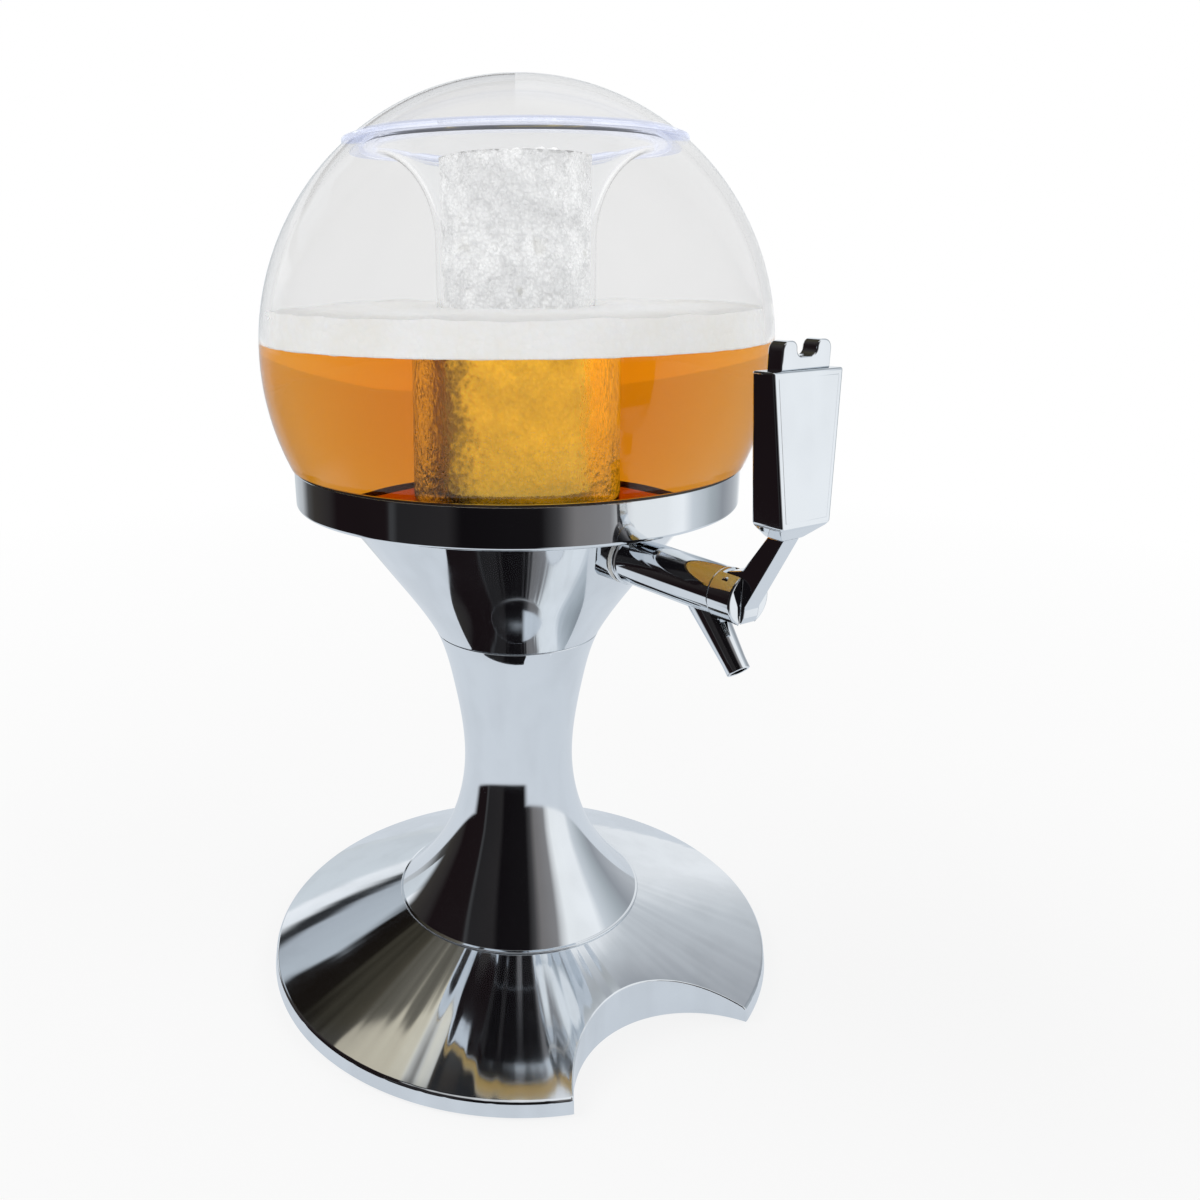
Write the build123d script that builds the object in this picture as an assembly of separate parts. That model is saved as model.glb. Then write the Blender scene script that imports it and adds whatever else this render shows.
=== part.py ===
from build123d import *
from math import cos, pi, radians, sin, sqrt
import os

# Draft beer dispenser: a clear ball of beer with an ice core, on a plated pedestal with a tap.
# Millimetres. +Z is up, the origin is on the column's axis where the dispenser stands, and the
# tap points along +X.

# Clearances
RUNNING = 0.05
FIT = 0.1
LOOSE = 0.3
HOLE = 0.25
SEAM = 0.15

# Foot
FOOT_R = 121.5
FOOT_H = 31.0
FOOT_WALL = 2.4
RIM_H = 7.6
RIM_STEP = 1.3
RIM_TAPER = 0.9
RIM_LIFT = 1.0
BAY_R = 55.0
BAY_X = FOOT_R + 17.0
SHELF_T = 2.8
SHELF_R = 34.0

# Under the foot
PLATE_T = 2.5
PAD_T = 1.8
PAD_R = 7.0
PAD_RING_R = FOOT_R - 16.5
PAD_ANGLES = (32, 90, 148, 212, 270, 328)
PILLAR_R = 4.2
PILLAR_RING_R = FOOT_R - 13.5
PILLAR_ANGLES = (60, 120, 180, 240, 300)
BALLAST_T = 8.0
BALLAST_R = PILLAR_RING_R - 9.0
BALLAST_BORE = 62.0
BALLAST_SCREW_R = 72.0
BALLAST_THREAD = 6.0
BALLAST_SCREW_LEN = 6.5
PLATE_SCREW_LEN = 7.0
BALLAST_ANGLES = (100, 180, 260)

# Column: radius at heights above the ridge where it meets the foot
RIDGE_R = 59.0
COLUMN_H = 135.3
KNEE_R = 36.2
KNEE_RISE = 29.0
WAIST_R = 25.7
WAIST_RISE = 68.0
SHOULDER_R = 30.0
SHOULDER_RISE = 110.0
COLUMN_WALL = 2.5
COLUMN_FLANGE_T = 3.0
COLUMN_FLANGE_R = 40.0
COLUMN_SCREW_R = 47.0
COLUMN_ANGLES = (45, 135, 225, 315)

# Ball
GLOBE_R = 106.2
GLOBE_WALL = 3.6
SKIRT_BEVEL = 4.0
FLOOR_DROP = 0.51507 * GLOBE_R
FLOOR_T = 3.0
MOUTH_RISE = 0.76554 * GLOBE_R
DRAIN_R = 15.8
DRAIN_WALL = 3.4
DRAIN_LEN = 8.0
DRAIN_STEP = 1.8

# Neck
RING_R = 0.9002 * GLOBE_R
NECK_R = 37.2
NECK_TOP_R = RING_R - 15.3
NECK_H = 61.2
NECK_MID_R = 56.3
NECK_MID_RISE = 28.7
NECK_WALL = 2.5
NECK_FLANGE_T = 3.0
NECK_FLANGE_R = NECK_TOP_R - 17.3
SPIGOT_DEPTH = 5.0
SPIGOT_R = 33.3
SPIGOT_WALL = 2.0
WEB_T = 3.0
WEB_R = 18.0
NECK_SCREW_R = 25.0
NECK_ANGLES = (60, 180, 300)

# Collar ring and what the ball stands on
RING_H = 16.2
RING_WALL = 1.2
RING_WEB_T = 2.5
RING_FILLET = 1.8
RING_SCREW_R = NECK_TOP_R - 11.3
RING_ANGLES = (30, 90, 150, 210, 270, 330)
SUPPORT_T = 3.0
GASKET_T = 0.8
GASKET_R = RING_R - 9.6
GASKET_BORE = GASKET_R - 26.0
LIP_T = 1.2

# Ice core, seal and lid
CORE_R = 33.0
CORE_WALL = 2.0
CORE_GAP = 5.0
CORE_FOOT_FILLET = 4.0
FLANGE_T = 1.8
FLANGE_PROUD = 0.4
FLARE_DEPTH = 36.0
FLARE_R = 46.5
FLARE_RISE = 30.0
FLARE_MOUTH_R = 57.0
MOUTH_PLUG = 2.0
SEAL_T = 0.7
SEAL_W = 5.0
LID_WALL = 2.4

# Contents
BEER_RISE = 6.5
FOAM_T = 13.5
ICE_TOP_GAP = 1.0
ICE_SIDES = 9
ICE_LEVELS = 8

# Outlet under the ball
UNION_R = 20.0
UNION_FLOOR = 3.0
UNION_CHAMBER_H = 10.4
UNION_RIB_COUNT = 6
UNION_RIB_W = 3.0
UNION_RIB_PROUD = 1.2
BARB_R = 4.4
BARB_LEN = 14.0
DUCT_R = 3.0
HOSE_WALL = 2.0
CLAMP_T = 0.8
CLAMP_W = 6.0
CLAMP_INSET = 3.0
CLAMP_EAR = 2.4

# Tap
TAP_DROP = 11.0
BOSS_R = 10.0
BOSS_FACE_X = 77.0
BOSS_BACK_X = 61.5
TAP_WASHER_T = 2.2
TAP_FLANGE_R = 9.9
TAP_FLANGE_T = 1.2
BARREL_R = 9.1
BARREL_LEN = 51.0
SHANK_R = 6.0
SHANK_TAIL = 7.0
NUT_T = 5.0
NUT_FLAT = 17.0
SHANK_WASHER_T = 0.8
SEAT_R = 3.4
SEAT_T = 3.5
INLET_R = 5.6
INLET_LEN = 13.0
INLET_WALL = 4.8
CHAMBER_R = 5.2
END_RING_T = 0.8
END_RING_R = 7.8
END_RING_BORE = 6.2

# End cap with the fork for the lever
CAP_R = 9.3
CAP_LEN = 10.8
CAP_PLUG_LEN = 4.4
CAP_WEB = 2.8
CAP_POCKET_R = 3.6
CAP_FILLET = 0.8
FORK_GAP = 7.6
FORK_DEPTH = 9.0
PIN_R = 1.5
PIN_LEN = 13.0
PIN_RISE = 6.3
PIN_BACK = 5.5

# Spout
SPOUT_LEAN = 41.4
SPOUT_BACK = 15.2
SPOUT_REACH = 35.7
SPOUT_R = 6.1
SPOUT_TIP_R = 4.25
SPOUT_TIP_LEN = 4.0
SPOUT_BORE_R = 3.1
SPOUT_PLUG_R = 4.25
SPOUT_START = 8.5

# Plunger
ROD_R = 2.0
ROD_SEAL_T = 1.4
HEAD_R = 4.2
HEAD_T = 2.4
VALVE_R = 5.0
VALVE_T = 3.0
YOKE_BACK = 2.5
YOKE_FRONT = 2.5
YOKE_W = 5.2
YOKE_UP = 1.0
YOKE_DOWN = 2.2
FINGER_R = 1.4
FINGER_W = 2.0
STEM_R = 1.0

# Lever and handle
LEVER_W = 7.2
HUB_R = 3.2
ARM_TOP_RISE = 18.4
ARM_TOP_DEPTH = 7.2
NOSE_DROP = 8.2
NOSE_CORNER_DROP = 7.6
PADDLE_BACK_X = 150.3
PADDLE_FOOT_RISE = 5.2
PADDLE_H = 47.6
PADDLE_DEPTH_FOOT = 12.6
PADDLE_DEPTH_TOP = 8.9
PADDLE_W_FOOT = 21.8
PADDLE_W_TOP = 30.4
PADDLE_BEVEL = 1.0
PADDLE_BACK_BEVEL = 0.4
PLATE_MARGIN = 1.8
FRONT_PLATE_T = 1.0
TANG_R = 2.6
TANG_LEN = 14.0
GRUB_R = 1.5
GRUB_LEN = 3.0
GRUB_RISE = 7.0
CLIP_W = 21.0
CLIP_T = 6.2
CLIP_H = 8.7
CLIP_LUG_R = 2.9
NOTCH_W = 8.6
NOTCH_DEPTH = 4.8
NOTCH_CORNER_R = 3.0

# Screws: shank radius, head radius and head height
SCREW_R = 2.0
SCREW_HEAD_R = 3.6
SCREW_HEAD_H = 2.4

# Heights worked out from the sizes above
PLATE_Z = PAD_T
PLATE_TOP_Z = PLATE_Z + PLATE_T
RIDGE_Z = FOOT_H
NECK_Z = RIDGE_Z + COLUMN_H
RING_Z = NECK_Z + NECK_H
RING_TOP_Z = RING_Z + RING_H
SUPPORT_Z = RING_Z + RING_WEB_T
SUPPORT_TOP_Z = SUPPORT_Z + SUPPORT_T
FLOOR_Z = SUPPORT_TOP_Z + GASKET_T
FLOOR_TOP_Z = FLOOR_Z + FLOOR_T
BALL_Z = FLOOR_Z + FLOOR_DROP
MOUTH_Z = BALL_Z + MOUTH_RISE
FLANGE_TOP_Z = MOUTH_Z + FLANGE_T
LID_Z = FLANGE_TOP_Z + SEAL_T
CORE_Z = FLOOR_TOP_Z + CORE_GAP
BEER_Z = BALL_Z + BEER_RISE
FOAM_Z = BEER_Z + FOAM_T
TAP_Z = RING_Z - TAP_DROP
DRAIN_Z = SUPPORT_Z - DRAIN_LEN
UNION_TOP_Z = SUPPORT_Z - GASKET_T
CHAMBER_TOP_Z = TAP_Z + UNION_CHAMBER_H / 2
CHAMBER_Z = TAP_Z - UNION_CHAMBER_H / 2
UNION_Z = CHAMBER_Z - UNION_FLOOR

# Places along the tap
BARREL_X = BOSS_FACE_X + TAP_WASHER_T
CAP_X = BARREL_X + BARREL_LEN
CAP_END_X = CAP_X + CAP_LEN
PLUG_X = CAP_X - CAP_PLUG_LEN
SEAT_X = BARREL_X + INLET_WALL + INLET_LEN
CHAMBER_X = SEAT_X + SEAT_T
PIN_X = CAP_END_X - PIN_BACK
PIN_Z = TAP_Z + PIN_RISE
SHANK_X = BOSS_BACK_X - SHANK_TAIL
NUT_X = BOSS_BACK_X - SHANK_WASHER_T - NUT_T
BARB_X = SHANK_X - BARB_LEN
SPOUT_X = CAP_X - SPOUT_BACK

# Places on the handle
ARM_TOP_Z = PIN_Z + ARM_TOP_RISE
PADDLE_Z = ARM_TOP_Z + PADDLE_FOOT_RISE
PADDLE_TOP_Z = PADDLE_Z + PADDLE_H


def sphere_radius(radius, z):
    """Radius of a level cut through a ball of that radius on the ball's centre."""
    return sqrt(radius**2 - (z - BALL_Z) ** 2)


def sphere_height(radius, level_radius):
    """How far from the ball's centre its surface has that level radius."""
    return sqrt(radius**2 - level_radius**2)


RING_BORE = RING_R - RING_WALL
SUPPORT_R = RING_BORE - LOOSE
SKIRT_R = RING_BORE - LOOSE
STEP_Z = RING_TOP_Z + LIP_T
GLOBE_BORE = GLOBE_R - GLOBE_WALL
LID_BORE = GLOBE_R - LID_WALL
MOUTH_R = sphere_radius(GLOBE_R, MOUTH_Z)
MOUTH_BORE = sphere_radius(GLOBE_BORE, MOUTH_Z)


def turn(*edges):
    """Turn an outline, drawn as radius and height, once round the column's axis."""
    return revolve(Plane.XZ * make_face(list(edges)), Axis.Z)


def turn_outline(*points):
    return turn(Polyline(*points, close=True))


def ring(outer, inner, low, high):
    """A level ring, or a disc where the inner radius is 0."""
    return turn_outline((inner, low), (outer, low), (outer, high), (inner, high))


def rod_x(radius, start, end, bore=0.0, z=TAP_Z):
    """A round bar along X, hollow where a bore is given."""
    place = Pos(start, 0, z) * Rot(0, 90, 0)
    align = (Align.CENTER, Align.CENTER, Align.MIN)
    bar = place * Cylinder(radius, end - start, align=align)
    if bore > 0:
        bar -= place * Cylinder(bore, end - start, align=align)
    return bar


def post(radius, x, y, low, high):
    """A round bar that stands at a point."""
    align = (Align.CENTER, Align.CENTER, Align.MIN)
    return Pos(x, y, low) * Cylinder(radius, high - low, align=align)


def block(low, high):
    """A box between two corners."""
    size = [high[i] - low[i] for i in range(3)]
    return Pos(*low) * Box(*size, align=(Align.MIN, Align.MIN, Align.MIN))


def around(radius, angles):
    """Points on a circle round the column's axis."""
    return [(radius * cos(radians(a)), radius * sin(radians(a))) for a in angles]


def posts(radius, circle, angles, low, high):
    """Posts on a circle, as one shape to add or cut."""
    made = [post(radius, x, y, low, high) for x, y in around(circle, angles)]
    total = made[0]
    for extra in made[1:]:
        total += extra
    return total


def screws(circle, angles, head_z, length):
    """Separate screws, heads down, whose heads bear at head_z."""
    made = []
    for x, y in around(circle, angles):
        head = post(SCREW_HEAD_R, x, y, head_z - SCREW_HEAD_H, head_z)
        head = chamfer(head.edges().group_by(Axis.Z)[0], 0.4)
        drive = post(SCREW_R * 0.6, x, y, head_z - SCREW_HEAD_H, head_z - SCREW_HEAD_H * 0.4)
        shank = post(SCREW_R, x, y, head_z, head_z + length)
        made.append(head + shank - drive)
    return Compound(children=made)


def inset(curve, wall, count=9):
    """A curve that runs a wall's thickness inside another, on the axis side."""
    points = []
    for step in range(count):
        here = curve @ (step / (count - 1))
        along = curve % (step / (count - 1))
        points.append((here.X - wall * along.Y, here.Y + wall * along.X))
    return Spline(*points)


def bay(radius, low, high):
    """The round bay for the glass, or its wall's outer side."""
    return post(radius, BAY_X, 0, low, high)


def foot_outline(wall):
    """The foot as a solid of revolution, drawn a wall's thickness inside its skin."""
    low = RIM_LIFT
    rim_r = FOOT_R - RIM_TAPER
    slope = (FOOT_H - RIM_H) / (rim_r - RIM_STEP - RIDGE_R)
    drop = wall * sqrt(1 + slope**2)
    edge_r = rim_r - RIM_STEP - wall
    edge_z = RIM_H + RIM_STEP * 0.6 + wall * slope - drop
    top_z = edge_z + (edge_r - RIDGE_R + wall) * slope
    return turn_outline(
        (0, low),
        (FOOT_R - wall, low),
        (rim_r - wall, RIM_H - RIM_STEP * 0.4 - drop * (wall > 0)),
        (edge_r, edge_z),
        (RIDGE_R - wall, min(top_z, FOOT_H - (SHELF_T if wall > 0 else 0))),
        (0, FOOT_H - (SHELF_T if wall > 0 else 0)),
    )


def make_foot_shell():
    skin = foot_outline(0.0) - bay(BAY_R, -1, FOOT_H + 1)
    hollow = foot_outline(FOOT_WALL) - bay(BAY_R + FOOT_WALL, -1, FOOT_H + 1)
    shell = skin - hollow - ring(SHELF_R, 0, 0, FOOT_H + 1)
    pillars = posts(PILLAR_R, PILLAR_RING_R, PILLAR_ANGLES, PLATE_TOP_Z, FOOT_H)
    shell += pillars & skin
    shell -= posts(SCREW_R + RUNNING, PILLAR_RING_R, PILLAR_ANGLES, 0, PLATE_TOP_Z + BALLAST_THREAD)
    shell -= posts(SCREW_R + HOLE, COLUMN_SCREW_R, COLUMN_ANGLES, 0, FOOT_H + 1)
    return shell


def make_bottom_plate():
    plate = ring(FOOT_R - RIM_TAPER - FOOT_WALL - LOOSE, 0, PLATE_Z, PLATE_TOP_Z)
    plate -= bay(BAY_R + FOOT_WALL + LOOSE, 0, PLATE_TOP_Z + 1)
    plate -= posts(SCREW_R + HOLE, PILLAR_RING_R, PILLAR_ANGLES, 0, PLATE_TOP_Z + 1)
    plate -= posts(SCREW_R + HOLE, BALLAST_SCREW_R, BALLAST_ANGLES, 0, PLATE_TOP_Z + 1)
    for circle, angles in ((PILLAR_RING_R, PILLAR_ANGLES), (BALLAST_SCREW_R, BALLAST_ANGLES)):
        plate -= posts(SCREW_HEAD_R + HOLE, circle, angles, 0, PLATE_Z + SCREW_HEAD_H * 0.5)
    return plate


def make_rubber_feet():
    made = []
    for x, y in around(PAD_RING_R, PAD_ANGLES):
        pad = post(PAD_R, x, y, 0, PAD_T)
        made.append(chamfer(pad.edges().group_by(Axis.Z)[0], 0.4))
    return Compound(children=made)


def make_plate_screws():
    return screws(PILLAR_RING_R, PILLAR_ANGLES, PLATE_Z + SCREW_HEAD_H * 0.5, PLATE_SCREW_LEN)


def make_ballast_ring():
    slug = ring(BALLAST_R, BALLAST_BORE, PLATE_TOP_Z, PLATE_TOP_Z + BALLAST_T)
    slug -= bay(BAY_R + FOOT_WALL + 3, 0, FOOT_H)
    slug -= posts(SCREW_R + RUNNING, BALLAST_SCREW_R, BALLAST_ANGLES, 0, PLATE_TOP_Z + BALLAST_THREAD)
    return slug


def make_ballast_screws():
    return screws(BALLAST_SCREW_R, BALLAST_ANGLES, PLATE_Z + SCREW_HEAD_H * 0.5, BALLAST_SCREW_LEN)


def column_curve():
    return Spline(
        (RIDGE_R, RIDGE_Z),
        (KNEE_R, RIDGE_Z + KNEE_RISE),
        (WAIST_R, RIDGE_Z + WAIST_RISE),
        (SHOULDER_R, RIDGE_Z + SHOULDER_RISE),
        (NECK_R, NECK_Z - SEAM),
        tangents=((-1, 0.92), (0.46, 1)),
    )


def closed_to_axis(curve):
    """The edges that close a wall's curve down the column's axis."""
    low = curve @ 0
    high = curve @ 1
    return Polyline((high.X, high.Y), (0, high.Y), (0, low.Y), (low.X, low.Y))


def make_column():
    outer = column_curve()
    inner = inset(outer, COLUMN_WALL)
    skin = turn(outer, closed_to_axis(outer))
    low = RIDGE_Z + COLUMN_FLANGE_T
    high = NECK_Z - SEAM - SPIGOT_DEPTH
    hollow = turn(inner, closed_to_axis(inner)) & ring(RIDGE_R, 0, low, high - WEB_T)
    column = skin - hollow - ring(COLUMN_FLANGE_R, 0, 0, low) - ring(WEB_R, 0, low, NECK_Z)
    column -= ring(SPIGOT_R + FIT, 0, high, NECK_Z)
    column -= posts(SCREW_R + RUNNING, COLUMN_SCREW_R, COLUMN_ANGLES, 0, low)
    column -= posts(SCREW_R + RUNNING, NECK_SCREW_R, NECK_ANGLES, high - WEB_T, high)
    return column


def make_column_screws():
    return screws(COLUMN_SCREW_R, COLUMN_ANGLES, RIDGE_Z - SHELF_T, SHELF_T + COLUMN_FLANGE_T)


def neck_curve():
    return Spline(
        (NECK_R, NECK_Z),
        (NECK_MID_R, NECK_Z + NECK_MID_RISE),
        (NECK_TOP_R, RING_Z),
        tangents=((0.52, 1), (0.78, 1)),
    )


def make_neck_bell():
    outer = neck_curve()
    inner = inset(outer, NECK_WALL)
    skin = turn(outer, closed_to_axis(outer))
    base = NECK_Z - SPIGOT_DEPTH - SEAM
    hollow = turn(inner, closed_to_axis(inner)) & ring(NECK_TOP_R, 0, NECK_Z, RING_Z - NECK_FLANGE_T)
    bell = skin - hollow - ring(NECK_FLANGE_R, 0, RING_Z - NECK_FLANGE_T, RING_Z)
    bell += ring(SPIGOT_R, SPIGOT_R - SPIGOT_WALL, base, NECK_Z + WEB_T)
    bell += ring(SPIGOT_R, WEB_R, base, base + WEB_T)
    bell -= ring(SPIGOT_R - SPIGOT_WALL, 0, base + WEB_T, NECK_Z + WEB_T)
    bell += rod_x(BOSS_R, BOSS_BACK_X, BOSS_FACE_X)
    bell -= rod_x(BOSS_R + 2 * HOLE, BOSS_FACE_X, BOSS_FACE_X + BOSS_R)
    bell -= rod_x(SHANK_R + HOLE, BOSS_BACK_X - 1, BOSS_FACE_X + 1)
    bell -= posts(SCREW_R + HOLE, NECK_SCREW_R, NECK_ANGLES, base, base + WEB_T)
    bell -= posts(SCREW_R + HOLE, RING_SCREW_R, RING_ANGLES, RING_Z - NECK_FLANGE_T, RING_Z)
    return bell


def make_neck_screws():
    """The screws that hold the neck on the column, heads up inside the neck."""
    bearing = NECK_Z - SEAM - SPIGOT_DEPTH + WEB_T
    fixed = screws(NECK_SCREW_R, NECK_ANGLES, 0, 2 * WEB_T)
    return Pos(0, 0, bearing) * (Rot(180, 0, 0) * fixed)


def make_collar_ring():
    low = RING_Z + RING_FILLET
    side = Polyline((RING_R, low), (RING_R, RING_TOP_Z), (RING_BORE, RING_TOP_Z), (RING_BORE, SUPPORT_Z),
                    (NECK_FLANGE_R, SUPPORT_Z), (NECK_FLANGE_R, RING_Z), (RING_R - RING_FILLET, RING_Z))
    corner = RadiusArc((RING_R - RING_FILLET, RING_Z), (RING_R, low), -RING_FILLET)
    return turn(side, corner) - posts(SCREW_R + HOLE, RING_SCREW_R, RING_ANGLES, RING_Z, SUPPORT_Z)


def make_ring_screws():
    head_z = RING_Z - NECK_FLANGE_T
    return screws(RING_SCREW_R, RING_ANGLES, head_z, NECK_FLANGE_T + RING_WEB_T + SUPPORT_T - 0.4)


def make_support_plate():
    plate = ring(SUPPORT_R, DRAIN_R + LOOSE, SUPPORT_Z, SUPPORT_TOP_Z)
    return plate - posts(SCREW_R + RUNNING, RING_SCREW_R, RING_ANGLES, SUPPORT_Z, SUPPORT_TOP_Z)


def make_floor_gasket():
    return ring(GASKET_R, GASKET_BORE, SUPPORT_TOP_Z, FLOOR_Z)


def make_lip_seal():
    """The dark rubber ring between the collar ring and the step round the ball."""
    return ring(RING_R - 2 * FIT, SKIRT_R + FIT, RING_TOP_Z, STEP_Z)


def sphere_arc(radius, low, high):
    """The ball's outline between two heights."""
    mid = (low + high) / 2
    return ThreePointArc(
        (sphere_radius(radius, low), low),
        (sphere_radius(radius, mid), mid),
        (sphere_radius(radius, high), high),
    )


def make_globe():
    outer = sphere_arc(GLOBE_R, STEP_Z, MOUTH_Z)
    inner = sphere_arc(GLOBE_BORE, FLOOR_TOP_Z, MOUTH_Z)
    hole = DRAIN_R - DRAIN_STEP
    lip = Line((MOUTH_R, MOUTH_Z), (MOUTH_BORE, MOUTH_Z))
    floor = Polyline(
        (sphere_radius(GLOBE_BORE, FLOOR_TOP_Z), FLOOR_TOP_Z),
        (hole, FLOOR_TOP_Z),
        (hole, FLOOR_Z),
        (SKIRT_R - SKIRT_BEVEL, FLOOR_Z),
        (SKIRT_R, FLOOR_Z + SKIRT_BEVEL),
        (SKIRT_R, STEP_Z),
        (sphere_radius(GLOBE_R, STEP_Z), STEP_Z),
    )
    return turn(outer, lip, inner, floor)


def make_drain_spigot():
    bore = DRAIN_R - DRAIN_WALL
    neck = ring(DRAIN_R - DRAIN_STEP - RUNNING, bore, FLOOR_Z, FLOOR_TOP_Z)
    return neck + ring(DRAIN_R, bore, DRAIN_Z, FLOOR_Z)


def make_outlet_union():
    body = ring(UNION_R, 0, UNION_Z, UNION_TOP_Z)
    for step in range(UNION_RIB_COUNT):
        low = (0, -UNION_RIB_W / 2, UNION_Z)
        rib = block(low, (UNION_R + UNION_RIB_PROUD, UNION_RIB_W / 2, CHAMBER_TOP_Z))
        body += Rot(0, 0, (step + 0.5) * 360 / UNION_RIB_COUNT) * rib
    body += rod_x(BARB_R, 0, UNION_R + BARB_LEN)
    body -= ring(DRAIN_R + FIT, 0, CHAMBER_TOP_Z, UNION_TOP_Z)
    body -= ring(DRAIN_R - DRAIN_WALL, 0, CHAMBER_Z, CHAMBER_TOP_Z)
    return body - rod_x(DUCT_R, 0, UNION_R + BARB_LEN + 1)


def make_union_washer():
    return ring(UNION_R, DRAIN_R + LOOSE, UNION_TOP_Z, SUPPORT_Z)


HOSE_X = UNION_R + UNION_RIB_PROUD + LOOSE
HOSE_END_X = SHANK_X - LOOSE
HOSE_BORE = BARB_R + FIT
HOSE_R = HOSE_BORE + HOSE_WALL


def make_feed_hose():
    return rod_x(HOSE_R, HOSE_X, HOSE_END_X, HOSE_BORE)


def make_hose_clamps():
    inner = HOSE_R + RUNNING
    outer = inner + CLAMP_T
    made = []
    for start in (HOSE_X + CLAMP_INSET, HOSE_END_X - CLAMP_INSET - CLAMP_W):
        band = rod_x(outer, start, start + CLAMP_W)
        band += block(
            (start, -CLAMP_EAR / 2, TAP_Z - outer - CLAMP_EAR),
            (start + CLAMP_W, CLAMP_EAR / 2, TAP_Z),
        )
        made.append(band - rod_x(inner, start - 1, start + CLAMP_W + 1))
    return Compound(children=made)


def make_shank_washer():
    return rod_x(NUT_FLAT / 2, BOSS_BACK_X - SHANK_WASHER_T, BOSS_BACK_X, SHANK_R + HOLE)


def make_shank_nut():
    hexagon = extrude(RegularPolygon(NUT_FLAT / 2, 6, major_radius=False), NUT_T)
    nut = Pos(NUT_X, 0, TAP_Z) * (Rot(0, 90, 0) * hexagon)
    return nut - rod_x(SHANK_R + RUNNING, NUT_X - 1, NUT_X + NUT_T + 1)


def make_tap_washer():
    return rod_x(TAP_FLANGE_R, BOSS_FACE_X, BARREL_X, SHANK_R + HOLE)


def spout_plane(distance):
    """The plane square to the spout, that far along it from the barrel's axis."""
    lean = radians(SPOUT_LEAN)
    direction = Vector(sin(lean), 0, -cos(lean))
    return Plane(origin=Vector(SPOUT_X, 0, TAP_Z) + direction * distance, z_dir=direction)


def spout_bar(radius, start, end):
    align = (Align.CENTER, Align.CENTER, Align.MIN)
    return spout_plane(start) * Cylinder(radius, end - start, align=align)


def make_tap_body():
    body = rod_x(BARREL_R, BARREL_X, CAP_X)
    body += rod_x(TAP_FLANGE_R, BARREL_X, BARREL_X + TAP_FLANGE_T)
    body += rod_x(SHANK_R, SHANK_X, BARREL_X)
    body += rod_x(BARB_R, BARB_X, SHANK_X)
    body -= rod_x(DUCT_R, BARB_X - 1, SEAT_X - INLET_LEN)
    body -= rod_x(INLET_R, SEAT_X - INLET_LEN, SEAT_X)
    body -= rod_x(SEAT_R, SEAT_X, CHAMBER_X)
    body -= rod_x(CHAMBER_R, CHAMBER_X, CAP_X + 1)
    body -= rod_x(END_RING_R, CAP_X - END_RING_T, CAP_X + 1, END_RING_BORE)
    return body - spout_bar(SPOUT_PLUG_R + RUNNING, 0, 2 * BARREL_R)


def make_end_ring():
    return rod_x(END_RING_R, CAP_X - END_RING_T, CAP_X, END_RING_BORE)


def make_tap_cap():
    cap = rod_x(CAP_R, CAP_X, CAP_END_X)
    cap = fillet(cap.edges().group_by(Axis.X)[-1], CAP_FILLET)
    cap += rod_x(CHAMBER_R - FIT, PLUG_X, CAP_X)
    cap -= rod_x(ROD_R + RUNNING, PLUG_X - 1, CAP_END_X)
    cap -= rod_x(CAP_POCKET_R, PLUG_X + CAP_WEB, CAP_END_X)
    cap -= block(
        (CAP_END_X - FORK_DEPTH, -FORK_GAP / 2, TAP_Z - 2 * CAP_R),
        (CAP_END_X + 1, FORK_GAP / 2, TAP_Z + 2 * CAP_R),
    )
    return cap - pin_bar(PIN_R + RUNNING, 2 * CAP_R)


def pin_bar(radius, length):
    """A bar across the fork, on the lever's pivot."""
    return Pos(PIN_X, 0, PIN_Z) * (Rot(90, 0, 0) * Cylinder(radius, length))


def make_pivot_pin():
    pin = pin_bar(PIN_R, PIN_LEN)
    return chamfer(pin.edges().group_by(Axis.Y)[0] + pin.edges().group_by(Axis.Y)[-1], 0.3)


def make_rod_seal():
    return rod_x(CHAMBER_R - FIT, PLUG_X - ROD_SEAL_T, PLUG_X, ROD_R + RUNNING)


def make_spout():
    taper_end = SPOUT_REACH - SPOUT_TIP_LEN
    align = (Align.CENTER, Align.CENTER, Align.MIN)
    taper = Cone(SPOUT_R, SPOUT_TIP_R, taper_end - SPOUT_START, align=align)
    spout = spout_plane(SPOUT_START) * taper
    spout += spout_bar(SPOUT_TIP_R, taper_end, SPOUT_REACH)
    spout -= rod_x(CAP_R + RUNNING, BARREL_X, CAP_END_X + CAP_R)
    plug = spout_bar(SPOUT_PLUG_R, SPOUT_START - BARREL_R / 2, SPOUT_REACH / 2)
    spout += plug - rod_x(CHAMBER_R + FIT, BARREL_X, CAP_X)
    return spout - spout_bar(SPOUT_BORE_R, 0, SPOUT_REACH + 1)


def make_beer():
    side = sphere_arc(GLOBE_BORE - LOOSE, FLOOR_TOP_Z, BEER_Z)
    low = (GLOBE_BORE, FLOOR_TOP_Z)
    rim = sphere_radius(GLOBE_BORE - LOOSE, BEER_Z)
    foot = sphere_radius(GLOBE_BORE - LOOSE, low[1])
    hole = CORE_R + LOOSE
    rest = Polyline(
        (rim, BEER_Z), (hole, BEER_Z), (hole, CORE_Z - LOOSE), (0, CORE_Z - LOOSE),
        (0, FLOOR_TOP_Z), (foot, FLOOR_TOP_Z),
    )
    return turn(side, rest)


def make_foam():
    side = sphere_arc(GLOBE_BORE - LOOSE, BEER_Z, FOAM_Z)
    hole = CORE_R + LOOSE
    rest = Polyline(
        (sphere_radius(GLOBE_BORE - LOOSE, FOAM_Z), FOAM_Z), (hole, FOAM_Z), (hole, BEER_Z),
        (sphere_radius(GLOBE_BORE - LOOSE, BEER_Z), BEER_Z),
    )
    return turn(side, rest)


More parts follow.
